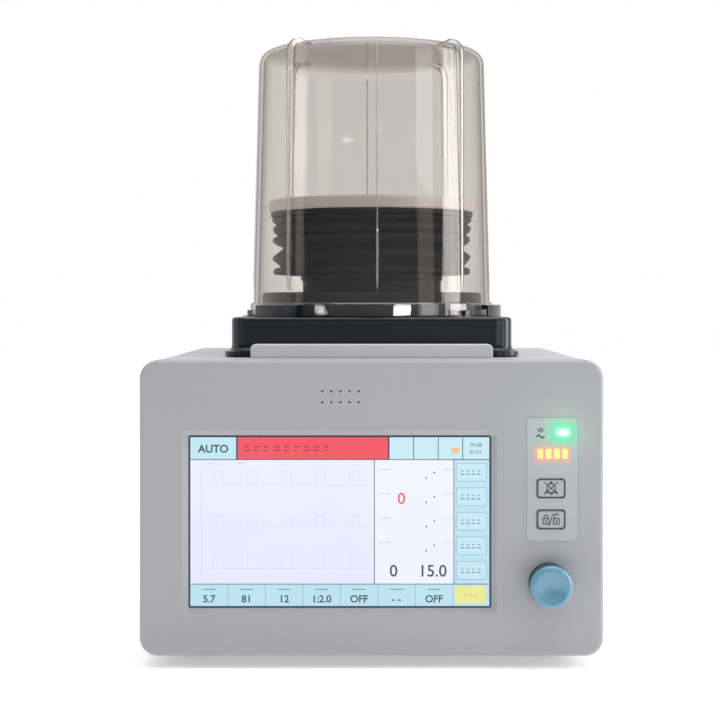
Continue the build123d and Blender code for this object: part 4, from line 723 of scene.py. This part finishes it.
for vert in cap.verts:
    reach = math.hypot(vert.co.x - dish_x, vert.co.z - dish_z) / dish_radius
    if vert.co.y < knob_low.y + 0.002 and reach < 1:
        vert.co.y += dish_depth * (1 - reach * reach) ** 1.2
# Faces around the side take the second finish, painted dark as the shade around the knob.
for face in cap.faces:
    middle = face.calc_center_median()
    out = math.hypot(middle.x - knob_x, middle.z - knob_z)
    if out > knob_radius - 0.0022 and middle.y > knob_low.y + 0.0026:
        face.material_index = 1
knob_cap = settle(cap, "knob_cap", 50.0)
knob_blue = Finish("knob_blue")
knob_flow = knob_blue.noise(45.0, 2.0)
knob_rub = knob_blue.noise(700.0, 4.0, 0.7)
knob_blue.set("Base Color", knob_blue.mix(knob_flow, (0.105, 0.275, 0.385, 1), (0.125, 0.300, 0.410, 1)))
knob_blue.set("Roughness", 0.20 + knob_rub * 0.12)
knob_blue.shader.inputs["Coat Weight"].default_value = 0.5
knob_blue.shader.inputs["Coat Roughness"].default_value = 0.08
knob_blue.bump(knob_rub, 0.03, 0.00005)
knob_cap.data.materials.append(knob_blue.material)
# Painted shade: the side finish is dark blue to stand in for the shadowed outline of the knob.
knob_shaded_side = Finish("knob_shaded_side")
shaded_side_grain = knob_shaded_side.noise(900.0, 3.0)
knob_shaded_side.set("Base Color", knob_shaded_side.mix(shaded_side_grain, (0.018, 0.055, 0.085, 1), (0.030, 0.080, 0.115, 1)))
knob_shaded_side.set("Roughness", 0.40 + shaded_side_grain * 0.2)
knob_shaded_side.bump(shaded_side_grain, 0.15, 0.0001)
knob_cap.data.materials.append(knob_shaded_side.material)
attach(knob_cap, "knob_assembly")
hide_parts("knob")

# A thin dark ring on the panel around the knob's foot: a painted contact shadow.
ring = bmesh.new()
shadow_ring_sheet = 0.0002
shadow_ring_hole = knob_radius - 0.0050
shadow_ring_line = [
    (shadow_ring_hole, 0.0), (knob_radius - 0.0010, 0.0), (knob_radius - 0.0012, shadow_ring_sheet),
    (shadow_ring_hole, shadow_ring_sheet),
]
turned(
    ring, [(knob_x + r, front_y - h, knob_z) for r, h in shadow_ring_line], (knob_x, 0, knob_z), (0, 1, 0)
)
knob_shadow_ring = settle(ring, "knob_shadow_ring", 30.0)
dark_rubber = Finish("dark_rubber")
rubber_cloud = dark_rubber.noise(80.0, 3.0)
rubber_grain = dark_rubber.noise(1600.0, 3.0)
dark_rubber.set(
    "Base Color", dark_rubber.mix(rubber_cloud, (0.018, 0.019, 0.021, 1), (0.035, 0.036, 0.038, 1))
)
dark_rubber.set("Roughness", 0.55 + rubber_grain * 0.25)
dark_rubber.bump(rubber_grain, 0.2, 0.0001)
knob_shadow_ring.data.materials.append(dark_rubber.material)
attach(knob_shadow_ring, "ventilator")


# ------------------------------------------------------------------ case, rear panel and feet
# Cover and tray are folded sheet steel in a light grey baked paint with a fine orange peel.
# The rear panel has the same paint a shade darker. The feet are black rubber pads.


def paint(name, low_tone, high_tone):
    """Baked paint on sheet steel: even colour, a soft sheen and a fine orange peel."""
    finish = Finish(name)
    drift = finish.noise(6.0, 3.0)
    peel = finish.noise(420.0, 2.0, 0.55)
    rub = finish.noise(24.0, 5.0, 0.65)
    finish.set("Base Color", finish.mix(drift, low_tone, high_tone))
    finish.set("Roughness", 0.34 + rub * 0.16)
    finish.shader.inputs["Specular IOR Level"].default_value = 0.45
    finish.bump(peel, 0.14, 0.00012)
    return finish


cover_grey = paint("cover_grey", (0.430, 0.431, 0.435, 1), (0.462, 0.462, 0.460, 1))
dress("top_cover", cover_grey)
dress("tray", cover_grey)
rear_grey = paint("rear_grey", (0.38, 0.384, 0.39, 1), (0.41, 0.412, 0.416, 1))
dress("rear_panel", rear_grey)
dress("feet", dark_rubber)
dress("base_gasket", dark_rubber)
dress("dome_seal", dark_rubber)


# ------------------------------------------------------------------ screws and bare metal
# Zinc-plated screws and a chromed fan guard, brushed sheet brackets, nickel-plated brass
# fittings, and anodised aluminium valve parts.


def metal(name, low_tone, high_tone, roughness):
    """Metal with fine marks drawn out along one way, and darker stains here and there."""
    finish = Finish(name, Metallic=1.0)
    marks = finish.noise(1.0, 4.0, 0.7, finish.stretched(900.0, 40.0, 900.0))
    stain = finish.noise(70.0, 4.0, 0.6)
    finish.set("Base Color", finish.mix(stain, low_tone, high_tone))
    finish.set("Roughness", roughness + marks * 0.18 + stain * 0.06)
    finish.bump(marks, 0.08, 0.00005)
    return finish


zinc = metal("screw_steel", (0.56, 0.57, 0.58, 1), (0.72, 0.73, 0.73, 1), 0.20)
sheet_steel = metal("module_steel", (0.50, 0.51, 0.52, 1), (0.64, 0.65, 0.66, 1), 0.30)
nickel = metal("contact_brass", (0.62, 0.58, 0.48, 1), (0.76, 0.72, 0.60, 1), 0.22)
alloy = metal("valve_aluminium", (0.55, 0.57, 0.60, 1), (0.68, 0.69, 0.70, 1), 0.32)
for node in ("case_screws", "base_screws", "fan_screws", "fan_grille"):
    dress(node, zinc)
for node in (
    "display_module", "display_bracket", "speaker", "network_socket", "power_supply",
    "battery_strap",
):
    dress(node, sheet_steel)
for node in ("encoder_shaft", "encoder_body"):
    dress(node, zinc)
for node in ("mains_blades", "earth_post", "supply_inlet"):
    dress(node, nickel)
for node in ("pressure_regulator", "valve_block"):
    dress(node, alloy)


# ------------------------------------------------------------------ moulded small parts
# Satin black mouldings for the fan, the mains fittings and the valve coil, and ivory
# mouldings for the gas ports and the spill valve disc.


def moulding(name, low_tone, high_tone, roughness, grain_scale):
    """Moulded plastic with faint flow marks and a fine grain."""
    finish = Finish(name)
    flow = finish.noise(35.0, 3.0)
    grain = finish.noise(grain_scale, 3.0, 0.6)
    finish.set("Base Color", finish.mix(flow, low_tone, high_tone))
    finish.set("Roughness", roughness + grain * 0.15)
    finish.bump(grain, 0.15, 0.0001)
    return finish


black_moulding = moulding(
    "black_plastic", (0.020, 0.020, 0.022, 1), (0.034, 0.034, 0.036, 1), 0.38, 1200.0
)
for node in (
    "fan_housing", "fan_rotor", "mains_inlet", "switch_housing", "rocker", "fuse_holders",
    "valve_coil", "encoder_plunger",
):
    dress(node, black_moulding)
ivory_moulding = moulding("port_plastic", (0.68, 0.67, 0.63, 1), (0.74, 0.73, 0.70, 1), 0.28, 900.0)
for node in ("patient_port", "exhaust_port", "sensor_ports", "spill_valve_disc"):
    dress(node, ivory_moulding)


# ------------------------------------------------------------------ inside the case
# Green circuit boards with pale tracks, a white flat cable, a battery in blue shrink film
# and grey silicone hoses.

board_green = Finish("board_green", Roughness=0.35)
track_values = {"Vector": board_green.place, "Scale": 160.0, "Mortar Size": 0.03}
tracks = board_green.node("ShaderNodeTexBrick", {"offset": 0.37}, track_values, "Fac")
spot_values = {"Vector": board_green.place, "Scale": 420.0}
board_spots = board_green.node("ShaderNodeTexVoronoi", {}, spot_values, "Distance")
pads = 1 - board_green.band(board_spots, 0.10, 0.16)
masked = board_green.mix(tracks, (0.012, 0.100, 0.045, 1), (0.030, 0.170, 0.080, 1))
board_green.set("Base Color", board_green.mix(pads, masked, (0.70, 0.66, 0.52, 1)))
board_green.bump(tracks + pads, 0.2, 0.00005)
dress("main_board", board_green)
dress("keypad_board", board_green)

cable_white = Finish("cable_white", Roughness=0.4)
cable_x = cable_white.node("ShaderNodeSeparateXYZ", {}, {"Vector": cable_white.place}, "X")
wires = cable_x.math("SINE", cable_x * 6283.0)
wire_tone = cable_white.band(wires, -0.4, 0.6)
cable_white.set(
    "Base Color", cable_white.mix(wire_tone, (0.55, 0.56, 0.58, 1), (0.80, 0.80, 0.78, 1))
)
cable_white.bump(wires, 0.3, 0.0001)
dress("ribbon_cable", cable_white)

battery_wrap = Finish("battery_wrap")
wrinkle = battery_wrap.noise(1.0, 4.0, 0.6, battery_wrap.stretched(60.0, 220.0, 90.0))
battery_wrap.set("Base Color", battery_wrap.mix(wrinkle, (0.015, 0.070, 0.260, 1), (0.030, 0.110, 0.340, 1)))
battery_wrap.set("Roughness", 0.18 + wrinkle * 0.2)
battery_wrap.bump(wrinkle, 0.4, 0.0004)
dress("battery_pack", battery_wrap)

hose_grey = Finish("hose_rubber")
hose_dust = hose_grey.noise(120.0, 4.0, 0.6)
hose_grey.set("Base Color", hose_grey.mix(hose_dust, (0.13, 0.14, 0.15, 1), (0.22, 0.23, 0.24, 1)))
hose_grey.set("Roughness", 0.42 + hose_dust * 0.2)
hose_grey.bump(hose_dust, 0.15, 0.0002)
for node in ("inlet_hose", "drive_hose", "patient_hose", "exhaust_hose"):
    dress(node, hose_grey)


# ------------------------------------------------------------------ bellows base and lock ring
# Glossy black mouldings, faintly tinted, painted bluer at the left and greener at the right
# as reflected light, with the hairline marks and the thin dust that such a surface always carries.

gloss_black = Finish("base_black")
gloss_drift = gloss_black.noise(14.0, 3.0)
hairlines = gloss_black.noise(1.0, 5.0, 0.75, gloss_black.stretched(60.0, 900.0, 500.0))
dust = gloss_black.band(gloss_black.noise(1100.0, 4.0, 0.7), 0.62, 0.80)
across = gloss_black.node("ShaderNodeSeparateXYZ", {}, {"Vector": gloss_black.place}, "X")
# Painted reflection: the colour runs from blue at the left to a lighter green at the right, with some random
# drift.
painted_side_light_and_drift = gloss_black.band(across, -0.11, 0.11) * 0.8 + gloss_drift * 0.2
black_tone = gloss_black.mix(painted_side_light_and_drift, (0.0045, 0.0058, 0.0120, 1), (0.0055, 0.0135, 0.0130, 1))
gloss_black.set("Base Color", gloss_black.mix(dust * 0.25, black_tone, (0.045, 0.050, 0.052, 1)))
gloss_black.set("Roughness", 0.17 + hairlines * 0.08 + dust * 0.15)
gloss_black.shader.inputs["Specular IOR Level"].default_value = 0.45
gloss_black.bump(hairlines, 0.02, 0.00008)
for node in ("bellows_base", "lock_ring", "spill_housing"):
    dress(node, gloss_black)

satin_black = Finish("satin_black")
satin_drift = satin_black.noise(30.0, 3.0)
satin_grain = satin_black.noise(900.0, 3.0, 0.6)
satin_black.set(
    "Base Color", satin_black.mix(satin_drift, (0.006, 0.008, 0.009, 1), (0.011, 0.013, 0.014, 1))
)
satin_black.set("Roughness", 0.40 + satin_grain * 0.15)
satin_black.shader.inputs["Specular IOR Level"].default_value = 0.22
satin_black.bump(satin_grain, 0.08, 0.0001)
dress("bellows_seat", satin_black)
dress("bellows_clamp", satin_black)


# ------------------------------------------------------------------ dome
# One clear, faintly smoky moulding: a tapered wall with a rounded head, a thick skirt with
# three bayonet tabs, four ribs that stand proud at the head and fade out near the skirt, and
# thin seam ribs between them.

dome_low, dome_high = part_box("dome")
axis_y = (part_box("bellows_seat")[0].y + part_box("bellows_seat")[1].y) / 2
axis_point = (0, axis_y, 0)
wall = 0.0030
foot_radius = 0.0905
head_radius = 0.0860
head_round = 0.0090
crown = dome_high.z - 0.0025
skirt_radius = 0.0930
skirt_high = dome_low.z + 0.0092

shell = bmesh.new()
wall_line = (
    [(skirt_radius - 0.0006, dome_low.z), (skirt_radius, dome_low.z + 0.0006)]
    + [(skirt_radius, skirt_high - 0.0008), (skirt_radius - 0.0008, skirt_high)]
    + [(foot_radius + 0.0006, skirt_high), (foot_radius, skirt_high + 0.0008)]
    + bend((head_radius - head_round, crown - head_round), head_round, 0, 90, 12)
    + [(0.040, crown + 0.0003), (0.0, crown + 0.0005)]
    + [(0.0, crown + 0.0005 - wall), (0.040, crown + 0.0003 - wall)]
    + bend((head_radius - head_round, crown - head_round), head_round - wall, 90, 0, 10)
    + [(foot_radius - wall, skirt_high), (foot_radius - wall, dome_low.z)]
)
turned(shell, [(r, axis_y, z) for r, z in wall_line], axis_point, (0, 0, 1), 128)

rib_low = dome_low.z + 0.0186
rib_face = 0.0901
rib_round = 0.0120
rib_line = (
    [(foot_radius - 0.0010, rib_low), (rib_face, rib_low + 0.0070)]
    + bend((rib_face - rib_round, dome_high.z - rib_round), rib_round, 0, 88, 12)
    + [(head_radius - 0.0200, crown - 0.0002), (head_radius - 0.0190, crown - 0.0014)]
    + bend((head_radius - head_round, crown - head_round), head_round - 0.0014, 84, 0, 8)
)
seam_line = [
    (foot_radius - 0.0010, rib_low), (foot_radius + 0.0006, rib_low + 0.0040),
    (head_radius + 0.0006, crown - head_round), (head_radius - 0.0010, crown - head_round + 0.0020),
]


def add_rib(outline, width, round_off, bearing):
    """Flat bar of one width on the wall, at an angle from the front towards +X."""
    before = set(shell.verts)
    face = shell.faces.new([shell.verts.new((r, -width / 2, z)) for r, z in outline])
    pushed = bmesh.ops.extrude_face_region(shell, geom=[face])
    pushed_verts = [part for part in pushed["geom"] if isinstance(part, bmesh.types.BMVert)]
    bmesh.ops.translate(shell, verts=pushed_verts, vec=(0, width, 0))
    made = [vert for vert in shell.verts if vert not in before]
    edges = {edge for vert in made for edge in vert.link_edges}
    lengthwise = [edge for edge in edges if abs(edge.verts[0].co.y - edge.verts[1].co.y) < 1e-6]
    bmesh.ops.bevel(
        shell, geom=lengthwise, offset=round_off, affect="EDGES", segments=2, profile=0.5,
        material=-1, clamp_overlap=True,
    )
    made = [vert for vert in shell.verts if vert not in before]
    for part in {part for vert in made for part in vert.link_faces}:
        part.material_index = 1
    turn_to = Matrix.Rotation(math.radians(bearing - 90), 3, "Z")
    bmesh.ops.rotate(shell, verts=made, cent=(0, 0, 0), matrix=turn_to)
    bmesh.ops.translate(shell, verts=made, vec=axis_point)


for face in shell.faces:
    if face.calc_center_median().z < skirt_high:
        face.material_index = 2
rib_width = 0.0034
rib_edge = 0.0008
rib_bearing = 47.5
seam_width = 0.0014
seam_edge = 0.0003
seam_bearing = 2.5
for quarter in range(4):
    add_rib(rib_line, rib_width, rib_edge, rib_bearing + 90 * quarter)
    add_rib(seam_line, seam_width, seam_edge, seam_bearing + 90 * quarter)

tab_low = dome_low.z + 0.0002
tab_high = dome_low.z + 0.0039
tab_root = skirt_radius - 0.0006
tab_radius = 0.0970
tab_sweep = 10
tab_bearing = 53.5
for turn in range(3):
    bearing = math.radians(tab_bearing - 90 - tab_sweep / 2 + turn * 120)
    start = Vector((math.cos(bearing), math.sin(bearing), 0))
    corners = [(tab_root, tab_low), (tab_radius, tab_low), (tab_radius, tab_high), (tab_root, tab_high)]
    verts = [shell.verts.new(start * r + Vector((0, axis_y, z))) for r, z in corners]
    face = shell.faces.new(verts)
    bmesh.ops.spin(
        shell, geom=[face], cent=axis_point, axis=(0, 0, 1), angle=math.radians(tab_sweep), steps=6
    )
clear_dome = settle(shell, "clear_dome", 40.0)


def clear_plastic(name, tone, through, haze, edge_haze, mirror, flank):
    """Clear moulding: it passes tinted light, mirrors more where it turns away, and hazes.

    Painted shade: a dark outline where it turns edge-on, and with a flank of 1 darker sides
    on a narrow rib, which bend the light behind them away.
    """
    finish = Finish(name, Metallic=mirror)
    facing = finish.node("ShaderNodeLayerWeight", {}, {"Blend": 0.50}, "Facing")
    streak = finish.noise(1.0, 3.0, 0.6, finish.stretched(26.0, 26.0, 3.0))
    scratches = finish.noise(1.0, 5.0, 0.8, finish.stretched(420.0, 420.0, 36.0))
    # Painted shade: the colour turns dark in a thin outline where the surface is seen edge-on.
    outline = finish.band(facing, 0.88, 0.99)
    painted_flank_shade = finish.band(facing, 0.22, 0.55)
    shaded_edge_tone = finish.mix(painted_flank_shade * flank, tone, (0.16, 0.15, 0.14, 1))
    finish.set("Base Color", finish.mix(outline, shaded_edge_tone, (0.20, 0.18, 0.17, 1)))
    finish.set("Roughness", 0.03 + scratches * 0.05)
    finish.shader.inputs["Specular Tint"].default_value = (0.40, 0.37, 0.35, 1)
    finish.bump(streak, 0.04, 0.0008)
    clear = finish.node("ShaderNodeBsdfTransparent", {}, {"Color": through})
    solid = Socket(finish, finish.shader.outputs["BSDF"])
    gleam = 0.04 + facing ** 5 * 0.80
    presence = gleam + haze + facing ** 3 * edge_haze + painted_flank_shade * flank * 0.45 + streak * 0.006
    mixed = finish.node("ShaderNodeMixShader", {}, {0: presence, 1: clear, 2: solid})
    finish.join(mixed, finish.tree.nodes["Material Output"].inputs["Surface"])
    return finish


dome_finishes = (
    clear_plastic("dome_clear", (0.88, 0.85, 0.82, 1), (0.893, 0.878, 0.864, 1), 0.0, 0.12, 0.95, 0.0),
    clear_plastic("rib_clear", (0.97, 0.95, 0.93, 1), (0.93, 0.92, 0.91, 1), 0.13, 0.30, 0.55, 1.0),
    clear_plastic("skirt_clear", (0.80, 0.80, 0.80, 1), (0.92, 0.91, 0.90, 1), 0.08, 0.20, 0.75, 0.0),
)
for finish in dome_finishes:
    clear_dome.data.materials.append(finish.material)
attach(clear_dome, "dome_shell")
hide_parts("dome")


# ------------------------------------------------------------------ bellows
# Black rubber folds moulded as one sleeve. Collapsed, they settle unevenly, with one deep
# fold at mid height. The top is a cream moulded disc over a black clamp ring.

folds_low, folds_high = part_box("bellows_folds")
fold_height = folds_high.z - folds_low.z
fold_line = (
    (0.0600, 0.000), (0.0745, 0.020), (0.0762, 0.060), (0.0752, 0.120), (0.0708, 0.150),
    (0.0732, 0.210), (0.0765, 0.270), (0.0770, 0.320), (0.0748, 0.370), (0.0718, 0.420),
    (0.0704, 0.455), (0.0712, 0.490), (0.0750, 0.530), (0.0768, 0.590), (0.0758, 0.650),
    (0.0722, 0.680), (0.0752, 0.730), (0.0769, 0.790), (0.0761, 0.840), (0.0735, 0.870),
    (0.0763, 0.920), (0.0768, 0.960), (0.0740, 1.000),
)
fold_wall = 0.0035
sleeve = bmesh.new()
outer_line = [(r, axis_y, folds_low.z + share * fold_height) for r, share in fold_line]
inner_line = [(r - fold_wall, axis_y, z) for r, y, z in reversed(outer_line)]
turned(sleeve, outer_line + inner_line, axis_point, (0, 0, 1), 144)
bmesh.ops.remove_doubles(sleeve, verts=sleeve.verts, dist=merge_gap)
for vert in sleeve.verts:
    out = Vector((vert.co.x, vert.co.y - axis_y, 0))
    share = (vert.co.z - folds_low.z) / fold_height
    slack = math.sin(math.pi * min(max(share, 0.0), 1.0))
    ripple = noise.noise(Vector((out.x * 26, out.y * 26, vert.co.z * 210)))
    sag = noise.noise(Vector((out.x * 9 + 5, out.y * 9, 2.0)))
    vert.co += out.normalized() * slack * (ripple * 0.0021 - 0.0012)
    vert.co.z += slack * sag * 0.0022
folds = settle(sleeve, "folds", 60.0)
fold_rubber = Finish("fold_rubber")
fold_bloom = fold_rubber.noise(60.0, 4.0, 0.6)
fold_grain = fold_rubber.noise(1300.0, 3.0)
fold_rubber.set(
    "Base Color", fold_rubber.mix(fold_bloom, (0.0040, 0.0052, 0.0062, 1), (0.0095, 0.0105, 0.0110, 1))
)
fold_rubber.set("Roughness", 0.46 + fold_bloom * 0.22)
fold_rubber.shader.inputs["Specular IOR Level"].default_value = 0.22
fold_rubber.bump(fold_grain + fold_bloom * 2.0, 0.12, 0.0002)
folds.data.materials.append(fold_rubber.material)
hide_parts("bellows_folds")
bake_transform(folds)

disc_low, disc_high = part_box("bellows_disc")
disc_radius = (disc_high.x - disc_low.x) / 2
disc_edge = 0.0024
disc_hollow = 0.0014
plate = bmesh.new()
disc_line = (
    [(0.0, disc_low.z), (disc_radius - 0.0010, disc_low.z), (disc_radius, disc_low.z + 0.0010)]
    + bend((disc_radius - disc_edge, disc_high.z - disc_edge), disc_edge, 0, 90, 6)
    + [(disc_radius - 0.0080, disc_high.z), (disc_radius - 0.0092, disc_high.z - disc_hollow)]
    + [(0.020, disc_high.z - disc_hollow), (0.019, disc_high.z - 0.0004), (0.0, disc_high.z - 0.0004)]
)
turned(plate, [(r, axis_y, z) for r, z in disc_line], axis_point, (0, 0, 1), 128)
top_disc = settle(plate, "top_disc", 40.0)
disc_cream = moulding("disc_cream", (0.66, 0.605, 0.57, 1), (0.72, 0.67, 0.64, 1), 0.30, 800.0)
top_disc.data.materials.append(disc_cream.material)
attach(top_disc, "bellows_top")
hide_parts("bellows_disc")
